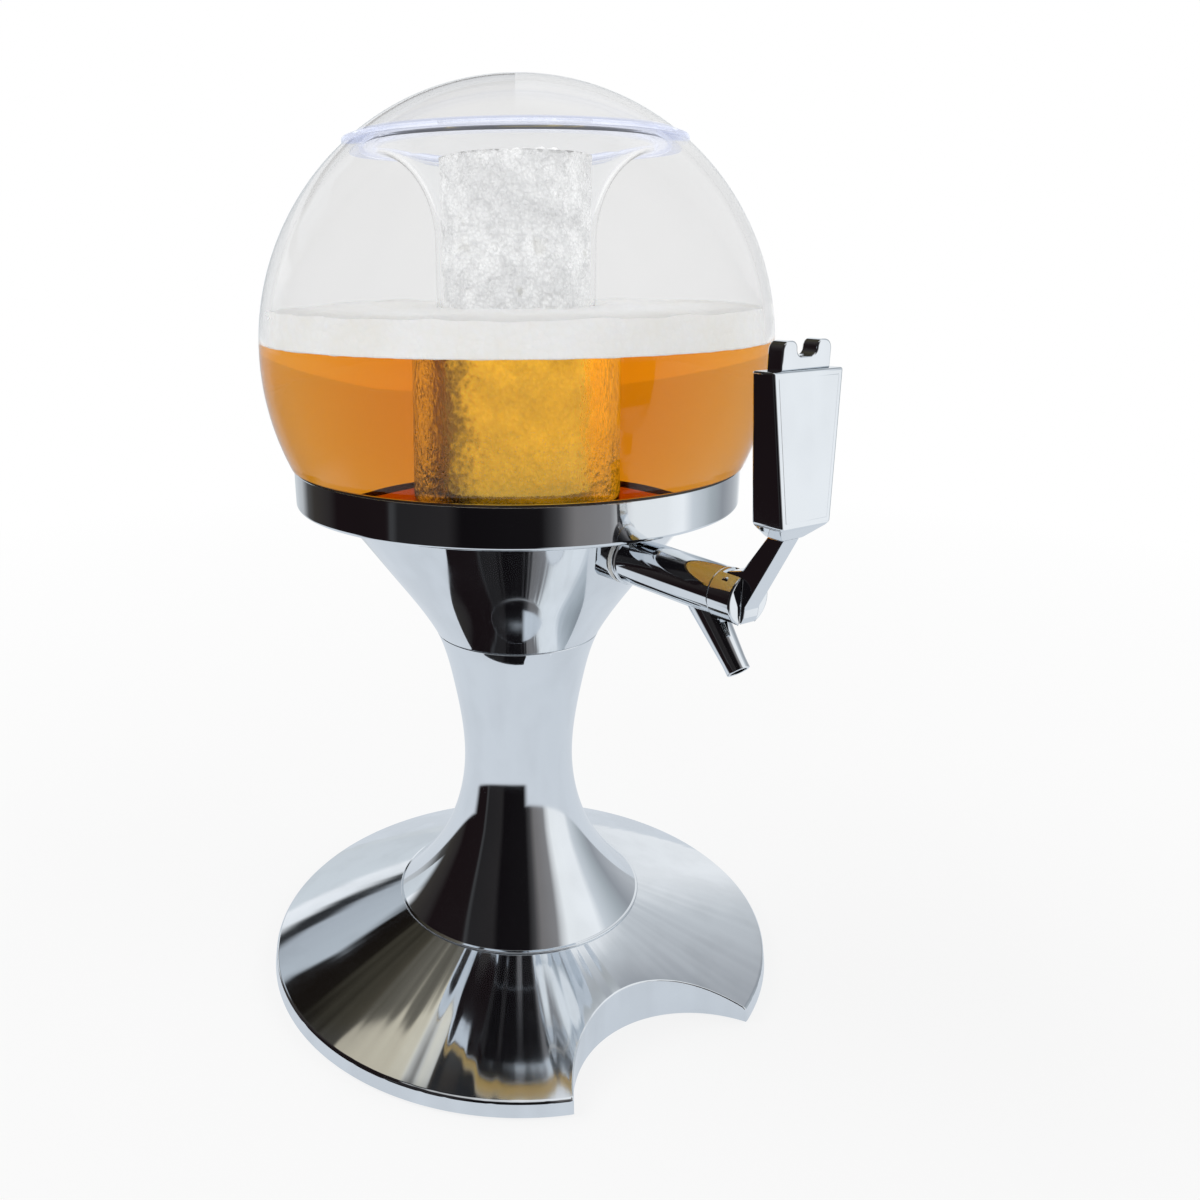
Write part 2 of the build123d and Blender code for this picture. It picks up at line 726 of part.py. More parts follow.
def flare_curve():
    """The trumpet mouth of the ice core, outside."""
    return Spline(
        (CORE_R, MOUTH_Z - FLARE_DEPTH),
        (FLARE_R, MOUTH_Z - FLARE_DEPTH + FLARE_RISE),
        (FLARE_MOUTH_R, MOUTH_Z - MOUTH_PLUG),
        tangents=((0, 1), (1, 0.1)),
    )


def make_ice_core():
    outer = flare_curve()
    inner = inset(outer, CORE_WALL)
    bend = CORE_FOOT_FILLET
    bore = CORE_R - CORE_WALL
    inner_low = inner @ 0
    inner_high = inner @ 1
    flange_r = MOUTH_R + FLANGE_PROUD
    corner = RadiusArc((CORE_R - bend, CORE_Z), (CORE_R, CORE_Z + bend), -bend)
    plug_z = MOUTH_Z - MOUTH_PLUG
    under = Polyline((FLARE_MOUTH_R, plug_z), (MOUTH_BORE - LOOSE, plug_z), (MOUTH_BORE - LOOSE, MOUTH_Z),
                     (flange_r, MOUTH_Z), (flange_r, FLANGE_TOP_Z), (inner_high.X, FLANGE_TOP_Z),
                     (inner_high.X, inner_high.Y))
    side = Line((CORE_R, CORE_Z + bend), (CORE_R, MOUTH_Z - FLARE_DEPTH))
    inside = Polyline((inner_low.X, inner_low.Y), (bore, CORE_Z + CORE_WALL), (0, CORE_Z + CORE_WALL),
                      (0, CORE_Z), (CORE_R - bend, CORE_Z))
    return turn(corner, side, outer, under, inner, inside)


def make_ice():
    """Crushed ice in the core: one lump with a ragged, faceted side."""
    low = CORE_Z + CORE_WALL
    high = MOUTH_Z - ICE_TOP_GAP
    reach = CORE_R - CORE_WALL - LOOSE
    sections = []
    for level in range(ICE_LEVELS):
        z = low + (high - low) * level / (ICE_LEVELS - 1)
        points = []
        for side in range(ICE_SIDES):
            angle = 2 * pi * (side + 0.37 * level) / ICE_SIDES
            dip = 1.6 * (1 + sin(2.3 * side + 1.7 * level))
            points.append(((reach - dip) * cos(angle), (reach - dip) * sin(angle)))
        sections.append(Pos(0, 0, z) * make_face(Polyline(*points, close=True)))
    return loft(sections, ruled=True)


def make_lid_seal():
    outer = sphere_radius(GLOBE_R, LID_Z) + FLANGE_PROUD
    return ring(outer, outer - SEAL_W, FLANGE_TOP_Z, LID_Z)


def make_lid_dome():
    outer = ThreePointArc(
        (sphere_radius(GLOBE_R, LID_Z), LID_Z),
        (GLOBE_R * 0.3, BALL_Z + sphere_height(GLOBE_R, GLOBE_R * 0.3)),
        (0, BALL_Z + GLOBE_R),
    )
    inner = ThreePointArc(
        (0, BALL_Z + LID_BORE),
        (LID_BORE * 0.3, BALL_Z + sphere_height(LID_BORE, LID_BORE * 0.3)),
        (sphere_radius(LID_BORE, LID_Z), LID_Z),
    )
    crown = Line((0, BALL_Z + GLOBE_R), (0, BALL_Z + LID_BORE))
    rim = Line((sphere_radius(LID_BORE, LID_Z), LID_Z), (sphere_radius(GLOBE_R, LID_Z), LID_Z))
    return turn(outer, crown, inner, rim)


def make_plunger_rod():
    head_x = SEAT_X - RUNNING - VALVE_T - HEAD_T
    rod = rod_x(HEAD_R, head_x, head_x + HEAD_T)
    rod += rod_x(ROD_R, head_x, PIN_X - YOKE_BACK + 0.5)
    low = (PIN_X - YOKE_BACK, -YOKE_W / 2, TAP_Z - YOKE_DOWN)
    high = (PIN_X + YOKE_FRONT, YOKE_W / 2, TAP_Z + YOKE_UP)
    rod += block(low, high)
    slot = FINGER_R + SEAM
    rod -= block(
        (PIN_X - slot, -FINGER_W / 2 - SEAM, TAP_Z - 2 * YOKE_DOWN),
        (PIN_X + slot, FINGER_W / 2 + SEAM, TAP_Z + 2 * YOKE_DOWN),
    )
    return rod


def make_valve_seal():
    return rod_x(VALVE_R, SEAT_X - RUNNING - VALVE_T, SEAT_X - RUNNING, ROD_R)


def across(outline, width):
    """A plate of that width across the tap, from an outline in X and height."""
    face = Plane.XZ * make_face(Polyline(*outline, close=True))
    return extrude(face, width / 2, both=True)


def make_lever_arm():
    foot_x = CAP_END_X - 0.5
    outline = (
        (PIN_X, PIN_Z + HUB_R),
        (foot_x, PIN_Z + HUB_R + 1.3),
        (PADDLE_BACK_X + 0.3, ARM_TOP_Z),
        (PADDLE_BACK_X + ARM_TOP_DEPTH, ARM_TOP_Z),
        (foot_x + 2.2, TAP_Z - 2.2),
        (foot_x + 1.8, TAP_Z - 5.8),
        (foot_x + 1.1, TAP_Z - NOSE_CORNER_DROP),
        (foot_x + 0.4, TAP_Z - NOSE_DROP),
        (foot_x, TAP_Z - 7.4),
        (foot_x, PIN_Z - HUB_R),
        (PIN_X, PIN_Z - HUB_R),
    )
    arm = across(outline, LEVER_W) + pin_bar(HUB_R, LEVER_W)
    finger = block((PIN_X - STEM_R, -FINGER_W / 2, TAP_Z), (PIN_X + STEM_R, FINGER_W / 2, PIN_Z))
    arm += finger
    arm += Pos(PIN_X, 0, TAP_Z) * (Rot(90, 0, 0) * Cylinder(FINGER_R, FINGER_W))
    arm += handle_bar(TANG_R, ARM_TOP_Z, TANG_LEN)
    return arm - pin_bar(PIN_R + RUNNING, 2 * CAP_R)


def handle_middle(z):
    """Half way between the paddle's back and front at a height."""
    return (PADDLE_BACK_X + front_x(z)) / 2


def front_x(z):
    """Where the paddle's front face is at a height."""
    share = (z - PADDLE_Z) / PADDLE_H
    return PADDLE_BACK_X + PADDLE_DEPTH_FOOT + (PADDLE_DEPTH_TOP - PADDLE_DEPTH_FOOT) * share


def half_width(z):
    """Half the paddle's width at a height."""
    share = (z - PADDLE_Z) / PADDLE_H
    return (PADDLE_W_FOOT + (PADDLE_W_TOP - PADDLE_W_FOOT) * share) / 2


def handle_bar(radius, z, length):
    """The stud that joins the lever to the paddle."""
    return post(radius, PADDLE_BACK_X + 4.0, 0, z, z + length)


def paddle_section(z, back, front, half, bevel, back_bevel):
    """A level cut through the paddle, with its corners bevelled."""
    points = (
        (back, -half + back_bevel), (back + back_bevel, -half),
        (front - bevel, -half), (front, -half + bevel),
        (front, half - bevel), (front - bevel, half),
        (back + back_bevel, half), (back, half - back_bevel),
    )
    return Pos(0, 0, z) * make_face(Polyline(*points, close=True))


def front_plate_solid(gap):
    """The plate in the paddle's front, or its recess where a gap is given."""
    sections = []
    for z in (PADDLE_Z + PLATE_MARGIN - gap, PADDLE_TOP_Z - PLATE_MARGIN + gap):
        half = half_width(z) - PLATE_MARGIN + gap
        front = front_x(z) + (1.0 if gap > 0 else 0.0)
        back = front_x(z) - FRONT_PLATE_T
        outline = Polyline((back, -half), (front, -half), (front, half), (back, half), close=True)
        sections.append(Pos(0, 0, z) * make_face(outline))
    return loft(sections, ruled=True)


def make_handle_paddle():
    low = (PADDLE_Z, PADDLE_BACK_X, front_x(PADDLE_Z), half_width(PADDLE_Z))
    high = (PADDLE_TOP_Z, PADDLE_BACK_X, front_x(PADDLE_TOP_Z), half_width(PADDLE_TOP_Z))
    blade = loft([paddle_section(*low, PADDLE_BEVEL, PADDLE_BACK_BEVEL),
                  paddle_section(*high, PADDLE_BEVEL, PADDLE_BACK_BEVEL)], ruled=True)
    foot = (ARM_TOP_Z, PADDLE_BACK_X - 0.2, PADDLE_BACK_X + ARM_TOP_DEPTH + 0.4, LEVER_W / 2 + 0.8)
    taper = loft([paddle_section(*foot, 0.8, 0.4),
                  paddle_section(*low, PADDLE_BEVEL, PADDLE_BACK_BEVEL)], ruled=True)
    paddle = blade + taper - handle_bar(TANG_R + RUNNING, ARM_TOP_Z - 1, TANG_LEN + 1 + LOOSE)
    paddle -= grub_bar(GRUB_R + RUNNING, PADDLE_BACK_X - 1, PADDLE_BACK_X + 4.0)
    return paddle - front_plate_solid(RUNNING)


def grub_bar(radius, start, end):
    return rod_x(radius, start, end, z=ARM_TOP_Z + GRUB_RISE)


def make_front_plate():
    return front_plate_solid(0.0)


def make_handle_screw():
    tip = PADDLE_BACK_X + 4.0 - TANG_R
    return grub_bar(GRUB_R, tip - GRUB_LEN + 2, tip)


def make_badge_clip():
    low = PADDLE_TOP_Z
    high = PADDLE_TOP_Z + CLIP_H
    half = CLIP_W / 2
    middle = handle_middle(PADDLE_TOP_Z)
    clip = block((middle - CLIP_T / 2, -half, low), (middle + CLIP_T / 2, half, high))
    bottom = high - NOTCH_DEPTH
    notch = block((middle - CLIP_T, -NOTCH_W / 2, bottom), (middle + CLIP_T, NOTCH_W / 2, high + 1))
    clip -= fillet(notch.edges().filter_by(Axis.X).group_by(Axis.Z)[0], NOTCH_CORNER_R)
    tops = clip.edges().filter_by(Axis.X).group_by(Axis.Z)[-1]
    return fillet(tops, CLIP_LUG_R)


PIECES = {
    "foot_shell": make_foot_shell,
    "bottom_plate": make_bottom_plate,
    "rubber_feet": make_rubber_feet,
    "plate_screws": make_plate_screws,
    "ballast_ring": make_ballast_ring,
    "ballast_screws": make_ballast_screws,
    "column": make_column,
    "column_screws": make_column_screws,
    "neck_bell": make_neck_bell,
    "neck_screws": make_neck_screws,
    "collar_ring": make_collar_ring,
    "ring_screws": make_ring_screws,
    "support_plate": make_support_plate,
    "floor_gasket": make_floor_gasket,
    "lip_seal": make_lip_seal,
    "globe": make_globe,
    "drain_spigot": make_drain_spigot,
    "outlet_union": make_outlet_union,
    "union_washer": make_union_washer,
    "feed_hose": make_feed_hose,
    "hose_clamps": make_hose_clamps,
    "shank_washer": make_shank_washer,
    "shank_nut": make_shank_nut,
    "tap_washer": make_tap_washer,
    "tap_body": make_tap_body,
    "end_ring": make_end_ring,
    "tap_cap": make_tap_cap,
    "pivot_pin": make_pivot_pin,
    "rod_seal": make_rod_seal,
    "spout": make_spout,
    "beer": make_beer,
    "foam": make_foam,
    "ice_core": make_ice_core,
    "ice": make_ice,
    "lid_seal": make_lid_seal,
    "lid_dome": make_lid_dome,
    "plunger_rod": make_plunger_rod,
    "valve_seal": make_valve_seal,
    "lever_arm": make_lever_arm,
    "handle_paddle": make_handle_paddle,
    "front_plate": make_front_plate,
    "handle_screw": make_handle_screw,
    "badge_clip": make_badge_clip,
}


def main():
    os.makedirs("parts", exist_ok=True)
    for node, make in PIECES.items():
        export_step(make(), f"parts/{node}.step")
    print(len(PIECES), "nodes written")


if __name__ == "__main__":
    main()
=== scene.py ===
import math
import random

import bpy
from mathutils import Matrix, Vector, noise


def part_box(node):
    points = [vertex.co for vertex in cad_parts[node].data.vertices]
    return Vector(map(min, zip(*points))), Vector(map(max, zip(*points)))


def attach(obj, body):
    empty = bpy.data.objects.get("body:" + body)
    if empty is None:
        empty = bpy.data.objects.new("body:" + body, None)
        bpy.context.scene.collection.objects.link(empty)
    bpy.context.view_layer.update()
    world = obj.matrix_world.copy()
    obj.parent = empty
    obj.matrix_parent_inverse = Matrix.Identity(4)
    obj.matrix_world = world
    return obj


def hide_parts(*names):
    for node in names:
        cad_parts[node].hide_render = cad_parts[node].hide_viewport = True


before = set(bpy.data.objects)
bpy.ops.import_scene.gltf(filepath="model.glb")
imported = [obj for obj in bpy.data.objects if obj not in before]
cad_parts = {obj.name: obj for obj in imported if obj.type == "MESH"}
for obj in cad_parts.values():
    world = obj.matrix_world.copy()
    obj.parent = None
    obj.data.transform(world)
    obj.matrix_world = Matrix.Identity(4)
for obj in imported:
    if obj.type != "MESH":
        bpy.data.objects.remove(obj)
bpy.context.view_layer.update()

bl_info = {
    "name": "Draft beer dispenser",
    "version": (1, 0, 0),
    "blender": (4, 5, 0),
    "location": "View3D > Sidebar > Dispenser",
    "description": "Models a ball-shaped draft beer dispenser on its plated pedestal",
    "category": "Add Mesh",
}

MM = 0.001
TURN = 2 * math.pi

# A place, in metres, whose distance from each corner of a mesh is different
SORT_FROM = (0.31, 0.17, 0.53)

# Sizes in millimetres; z is a height above the table, x a place along the tap, r a distance from an axis
HAIR = 0.02
FOOT_LOW_Z = 1.0
RIM_R = 120.6
RIM_Z = 7.08
CONE_R = 119.3
CONE_Z = 8.38
RIDGE_R = 59.0
RIDGE_Z = 31.0
FOOT_WALL = 2.4
SHELF_R = 34.0
SHELF_Z = 20.0
BELOW_FOOT_Z = -5.0
ABOVE_FOOT_Z = 40.0
BAY_X = 138.5
BAY_R = 55.0

COLUMN_WALL = 2.5
COLUMN_FLOOR = 3.0
COLUMN_BASE_R = 52.0
COLUMN_BASE_BORE = 40.0
COLUMN_LAND_Z = 160.0
COLUMN_TOP_BORE = 32.0

NECK_Z = 166.3
NECK_R = 37.2
NECK_TOP_R = 80.3
NECK_BORE = 63.0
NECK_WALL = 2.5
NECK_SHELF = 3.0
PLUG_R = 33.2
PLUG_BORE = 31.3
PLUG_HOLE_R = 18.0
PLUG_Z = 161.3
PLUG_FLOOR_Z = 164.3

RING_Z = 227.5
RING_FLOOR_Z = 230.0
RING_TOP_Z = 243.7
RING_BORE = 94.4
SEAL_TOP_Z = 244.9

BALL_Z = 288.5
FLOOR_Z = 233.8
FLOOR_TOP_Z = 236.8
SKIRT_R = 94.1
SKIRT_BEVEL = 4.0
DRAIN_R = 14.0
MOUTH_Z = 369.8
FLANGE_TOP_Z = 371.6
FLANGE_PROUD = 0.4
LID_Z = 372.3
SEAL_WIDTH = 5.0
BEER_Z = 295.0
FROST_LOW_Z = 262.0
FROST_TOP_Z = 292.0
CORE_Z = 241.8
CORE_R = 33.0
CORE_WALL = 2.0
FLARE_DEPTH = 36.0
FLARE_MOUTH_R = 57.0
MOUTH_PLUG = 2.0

TAP_Z = 216.5
BARB_X = 40.5
BARB_R = 4.4
SHANK_X = 54.5
SHANK_R = 6.0
SHANK_HOLE_R = 6.25
BOSS_BACK_X = 61.5
BOSS_X = 77.0
BOSS_R = 10.0
BARREL_X = 79.2
BARREL_R = 9.1
ROOT_R = 9.9
ROOT_END_X = 80.4
DUCT_R = 3.0
INLET_X = 84.0
INLET_R = 5.6
SEAT_X = 97.0
SEAT_BORE = 3.4
CHAMBER_X = 100.5
CHAMBER_R = 5.2
CAP_PLUG_X = 125.8
CAP_PLUG_END_X = 128.6
CAP_PLUG_R = 5.1
CAP_X = 130.2
CAP_END_X = 141.0
CAP_R = 9.3
CAP_BORE = 3.6
ROD_HOLE_R = 2.05
FORK_DEPTH = 9.0
FORK_WIDTH = 7.6
PIN_X = 135.5
PIN_Z = 222.8
SPOUT_X = 115.0
SPOUT_LEAN = math.radians(41.4)
SPOUT_BORE = 3.1
SPOUT_ROOT_R = 6.2
SPOUT_TIP_R = 4.25

HUB_R = 3.2
ARM_WIDTH = 7.2
ARM_TOP_Z = 241.2
PADDLE_X = 150.3
PADDLE_Z = 246.4
PADDLE_TOP_Z = 294.0
PADDLE_DEPTHS = (12.6, 8.9)
PADDLE_WIDTHS = (21.8, 30.4)
PLATE_MARGIN = 1.8
CLIP_HEIGHT = 8.7
CLIP_DEPTH = 6.2
CLIP_HALF = 10.5
NOTCH_DEPTH = 4.8
NOTCH_HALF = 4.3

# Finishes
CLEAR_IOR = 1.16
# The lilac tint of clear plastic along the lid's seal, and the strength of a painted glow along that line
SEAM_TINT = (0.6, 0.62, 0.69)
SEAM_GLOW = 0.2
BLACK = (0.0, 0.0, 0.0)
# Azimuths, from the camera's, across which the beer's bubble skin is painted brown as painted shade
SHADED_SIDE = (-150, -33)
CAMERA_AZIMUTH = -33.5
FINISHES = {}


class Line:
    """A straight axis to turn an outline round, with the direction that its radius is drawn in."""

    def __init__(self, origin, along, out):
        self.origin = Vector(origin) * MM
        self.along = Vector(along).normalized()
        self.out = Vector(out).normalized()

    def place(self, radius, distance):
        return self.origin + (self.out * radius + self.along * distance) * MM


COLUMN_AXIS = Line((0, 0, 0), (0, 0, 1), (1, 0, 0))
TAP_AXIS = Line((0, 0, TAP_Z), (1, 0, 0), (0, 0, 1))
BAY_AXIS = Line((BAY_X, 0, 0), (0, 0, 1), (1, 0, 0))
SPOUT_AXIS = Line((SPOUT_X, 0, TAP_Z), (math.sin(SPOUT_LEAN), 0, -math.cos(SPOUT_LEAN)), (0, 1, 0))


# Outlines

def rounded(corners, closed=True):
    """An outline through corners given as (x, z) or (x, z, radius), with an arc where there is a radius."""
    points = []
    count = len(corners)
    for index, corner in enumerate(corners):
        here = Vector(corner[:2])
        radius = corner[2] if len(corner) > 2 else 0.0
        at_end = not closed and index in (0, count - 1)
        if radius <= 0 or at_end:
            points.append(tuple(here))
            continue
        back = Vector(corners[index - 1][:2]) - here
        ahead = Vector(corners[(index + 1) % count][:2]) - here
        half = back.angle(ahead) / 2
        reach = min(radius / math.tan(half), 0.49 * back.length, 0.49 * ahead.length)
        radius = reach * math.tan(half)
        back.normalize()
        ahead.normalize()
        middle = here + (back + ahead).normalized() * (radius / math.sin(half))
        first = here + back * reach - middle
        sweep = math.pi - 2 * half
        side = 1 if back.x * ahead.y - back.y * ahead.x < 0 else -1
        steps = max(3, math.ceil(math.degrees(sweep) / 14))
        for step in range(steps + 1):
            angle = side * sweep * step / steps
            turned = (first.x * math.cos(angle) - first.y * math.sin(angle),
                      first.x * math.sin(angle) + first.y * math.cos(angle))
            points.append((middle.x + turned[0], middle.y + turned[1]))
    return points


def smooth_run(knots, start, end, count=16):
    """Points along a smooth curve through knots, given its directions at both ends."""
    knots = [Vector(knot) for knot in knots]
    spans = [(b - a).length for a, b in zip(knots, knots[1:])]
    slopes = [Vector((0, 0)) for _ in knots]
    slopes[0] = Vector(start).normalized()
    slopes[-1] = Vector(end).normalized()
    for _ in range(40):
        for i in range(1, len(knots) - 1):
            back, ahead = spans[i - 1], spans[i]
            pull = 3 * ((knots[i] - knots[i - 1]) / back**2 + (knots[i + 1] - knots[i]) / ahead**2)
            slopes[i] = (pull - slopes[i - 1] / back - slopes[i + 1] / ahead) / (2 / back + 2 / ahead)
    run = []
    for i, span in enumerate(spans):
        for step in range(count):
            t = step / count
            a = (1 + 2 * t) * (1 - t) ** 2
            b = t * t * (3 - 2 * t)
            run.append(tuple(a * knots[i] + b * knots[i + 1]
                             + span * (t * (1 - t) ** 2 * slopes[i] - t * t * (1 - t) * slopes[i + 1])))
    return run + [tuple(knots[-1])]


def offset_run(run, wall):
    """A run of points moved a wall's thickness to its left."""
    moved = []
    for i, here in enumerate(run):
        back = Vector(run[max(i - 1, 0)])
        ahead = Vector(run[min(i + 1, len(run) - 1)])
        along = (ahead - back).normalized()
        moved.append((here[0] - wall * along.y, here[1] + wall * along.x))
    return moved


def level_radius(radius, z):
    """The radius, at a height, of a ball of that radius on the ball's centre."""
    return math.sqrt(max(radius**2 - (z - BALL_Z) ** 2, 0.0))


def ball_run(radius, low, high, count=48):
    """Points up the side of a ball between two heights."""
    first = math.asin((low - BALL_Z) / radius)
    last = math.asin(min(1.0, (high - BALL_Z) / radius))
    angles = [first + (last - first) * step / count for step in range(count + 1)]
    return [(radius * math.cos(a), BALL_Z + radius * math.sin(a)) for a in angles]


# Modelling

def pick(*pieces):
    bpy.ops.object.select_all(action="DESELECT")
    for piece in pieces:
        piece.select_set(True)
        bpy.context.view_layer.objects.active = piece


def edit(piece=None):
    if piece:
        pick(piece)
    bpy.ops.object.mode_set(mode="EDIT")
    bpy.ops.mesh.select_all(action="SELECT")


def finish_edit():
    bpy.ops.object.mode_set(mode="OBJECT")


def extrude(move):
    bpy.ops.mesh.extrude_region_move(TRANSFORM_OT_translate={"value": move})


def name_piece(piece, name):
    piece.name = name
    piece.data.name = name
    return piece


def drawn(name, places, closed=True):
    """A run of edges through places, extruded from one corner. It stays in edit mode, all selected."""
    pick()
    bpy.ops.mesh.primitive_plane_add(size=MM, location=(0, 0, 0))
    piece = name_piece(bpy.context.object, name)
    edit()
    bpy.ops.mesh.merge(type="CENTER")
    here = Vector((0, 0, 0))
    for index, place in enumerate(places):
        if index == 0:
            bpy.ops.transform.translate(value=place - here)
        else:
            extrude(place - here)
        here = place
    if closed:
        extrude(places[0] - here)
    bpy.ops.mesh.select_all(action="SELECT")
    if closed:
        bpy.ops.mesh.remove_doubles(threshold=1e-6)
    return piece


def close_up(smooth=30):
    """Merge doubles, turn faces outwards, leave edit mode and smooth all but the sharp edges."""
    bpy.ops.mesh.select_all(action="SELECT")
    bpy.ops.mesh.remove_doubles(threshold=2e-6)
    bpy.ops.mesh.normals_make_consistent(inside=False)
    finish_edit()
    bpy.ops.object.shade_smooth_by_angle(angle=math.radians(smooth))
    return bpy.context.object


def turned(name, outline, axis=COLUMN_AXIS, steps=192, closed=True, smooth=30):
    """An outline of (radius, distance) spun once round an axis."""
    drawn(name, [axis.place(*point) for point in outline], closed)
    bpy.ops.mesh.spin(steps=steps, angle=TURN, center=axis.origin, axis=axis.along)
    return close_up(smooth)


def cylinder(name, radius, low, high, axis, steps):
    """A solid cylinder between two distances along an axis."""
    return turned(name, [(0, low), (radius, low), (radius, high), (0, high)], axis, steps, closed=False)


def plate(name, outline, start, depth, across, up, right):
    """A flat outline in the plane of right and up, filled and extruded across by a depth."""
    right, up, across = Vector(right), Vector(up), Vector(across)
    places = [(right * x + up * y + across * start) * MM for x, y in outline]
    drawn(name, places)
    bpy.ops.mesh.edge_face_add()
    extrude(across * depth * MM)
    return close_up()


def soften(piece, width, wanted, segments=3, smooth=30):
    """Bevel the edges that a test of their two ends, in millimetres, picks out."""
    pick(piece)
    mesh = piece.data
    for part in (mesh.vertices, mesh.edges, mesh.polygons):
        part.foreach_set("select", [False] * len(part))
    for edge in mesh.edges:
        a, b = (mesh.vertices[i].co / MM for i in edge.vertices)
        edge.select = wanted(a, b)
        if edge.select:
            for i in edge.vertices:
                mesh.vertices[i].select = True
    bpy.context.tool_settings.mesh_select_mode = (False, True, False)
    bpy.ops.object.mode_set(mode="EDIT")
    bpy.ops.mesh.bevel(offset=width * MM, segments=segments, clamp_overlap=False)
    bpy.context.tool_settings.mesh_select_mode = (True, False, False)
    return close_up(smooth)


def apply_modifier(piece, kind, **settings):
    pick(piece)
    bpy.ops.object.modifier_add(type=kind)
    modifier = piece.modifiers[-1]
    for key, value in settings.items():
        setattr(modifier, key, value)
    bpy.ops.object.modifier_apply(modifier=modifier.name)


def combine(piece, tool, operation="DIFFERENCE"):
    """Cut a tool's shape out of a piece, or join the two, and put the mesh in the same order each run."""
    apply_modifier(piece, "BOOLEAN", operation=operation, object=tool, solver="EXACT")
    bpy.data.objects.remove(tool)
    cursor = bpy.context.scene.cursor
    cursor.location = SORT_FROM
    edit(piece)
    bpy.ops.mesh.sort_elements(type="CURSOR_DISTANCE", elements={"VERT", "EDGE", "FACE"})
    finish_edit()
    cursor.location = (0, 0, 0)


def dress(piece, body, slot, *nodes, finish=None):
    """Set a piece's normals by its large faces, give it its finish (the slot's, unless another is named),
    put it in its body and hide the frame's nodes that it stands for.
    """
    apply_modifier(piece, "WEIGHTED_NORMAL", keep_sharp=True)
    piece.data.materials.clear()
    piece.data.materials.append(FINISHES[finish or slot])
    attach(piece, body)
    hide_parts(*nodes)
    return piece


# Materials

class Wire:
    """A value in a material's nodes, which Python arithmetic extends with Math nodes."""

    def __init__(self, shop, socket):
        self.shop = shop
        self.socket = socket

    def maths(self, operation, first, second=None):
        inputs = {0: first} if second is None else {0: first, 1: second}
        return self.shop.add("ShaderNodeMath", {"operation": operation}, inputs)

    def __add__(self, other):
        return self.maths("ADD", self, other)

    def __sub__(self, other):
        return self.maths("SUBTRACT", self, other)

    def __rsub__(self, other):
        return self.maths("SUBTRACT", other, self)

    def __mul__(self, other):
        return self.maths("MULTIPLY", self, other)

    def __pow__(self, other):
        return self.maths("POWER", self, other)

    def or_more(self, other):
        """The larger of two values."""
        return self.maths("MAXIMUM", self, other)

    __radd__ = __add__
    __rmul__ = __mul__


class Shop:
    """Builds the nodes of one material or world."""

    def __init__(self, tree):
        self.tree = tree
        tree.nodes.clear()

    def add(self, kind, settings=None, inputs=None, output=0):
        """A node of any type: its settings first, then its sockets' values or links."""
        node = self.tree.nodes.new(kind)
        for key, value in (settings or {}).items():
            if key == "stops":
                ramp = node.color_ramp
                while len(ramp.elements) < len(value):
                    ramp.elements.new(0.5)
                for element, (place, tint) in zip(ramp.elements, value):
                    element.position = place
                    element.color = colour(*tint)
            else:
                setattr(node, key, value)
        for key, value in (inputs or {}).items():
            if isinstance(value, Wire):
                self.tree.links.new(value.socket, node.inputs[key])
            else:
                node.inputs[key].default_value = value
        return Wire(self, node.outputs[output])

    def place(self, scale=(1, 1, 1)):
        """The point's own place on the piece, stretched along each axis."""
        spot = self.add("ShaderNodeTexCoord", output="Object")
        return self.add("ShaderNodeMapping", {}, {"Vector": spot, "Scale": scale})

    def heading(self, spot="Object"):
        """A place's azimuth from the camera's in degrees, distance from the column's axis and height."""
        facing = self.add("ShaderNodeVectorRotate", {"rotation_type": "Z_AXIS"},
                          {"Vector": self.add("ShaderNodeTexCoord", output=spot),
                           "Angle": math.radians(-CAMERA_AZIMUTH)})
        x, y, z = (self.add("ShaderNodeSeparateXYZ", {}, {"Vector": facing}, output=axis) for axis in "XYZ")
        return y.maths("ARCTAN2", y, x) * math.degrees(1), (x * x + y * y) ** 0.5, z

    def grain(self, scale, detail=2.0, stretch=(1, 1, 1)):
        return self.add("ShaderNodeTexNoise", {},
                        {"Vector": self.place(stretch), "Scale": scale, "Detail": detail})

    def cells(self, scale):
        return self.add("ShaderNodeTexVoronoi", {"feature": "F1"}, {"Vector": self.place(), "Scale": scale})

    def spread(self, value, low, high, to_low=0.0, to_high=1.0):
        """One range of values stretched to another."""
        return self.add("ShaderNodeMapRange", {"clamp": True},
                        {0: value, 1: low, 2: high, 3: to_low, 4: to_high})

    def step(self, value, edge, soft):
        """Rises smoothly from 0 to 1 as a value passes an edge."""
        return self.add("ShaderNodeMapRange", {"clamp": True, "interpolation_type": "SMOOTHSTEP"},
                        {0: value, 1: edge - soft / 2, 2: edge + soft / 2, 3: 0.0, 4: 1.0})

    def window(self, value, low, high, soft):
        """Is 1 between two edges and 0 outside them."""
        return self.step(value, low, soft) * (1.0 - self.step(value, high, soft))

    def ramp(self, value, stops):
        """A run of colours along a value, from stops of (value, colour)."""
        low, high = stops[0][0], stops[-1][0]
        stops = [((place - low) / (high - low), tint) for place, tint in stops]
        return self.add("ShaderNodeValToRGB", {"stops": stops}, {0: self.spread(value, low, high)})

    def blend(self, share, first, second):
        """A mix of two colours."""
        first, second = (tint if isinstance(tint, Wire) else colour(*tint) for tint in (first, second))
        return self.add("ShaderNodeMix", {"data_type": "RGBA"}, {0: share, 6: first, 7: second}, output=2)

    def bump(self, height, strength, distance):
        return self.add("ShaderNodeBump", {},
                        {"Height": height, "Strength": strength, "Distance": distance})


def colour(red, green, blue):
    return (red, green, blue, 1.0)


def shades(tint, *shares):
    """A colour, darkened by one share or by a share for each of its parts."""
    return tuple(part * share for part, share in zip(tint, shares * (3 // len(shares))))


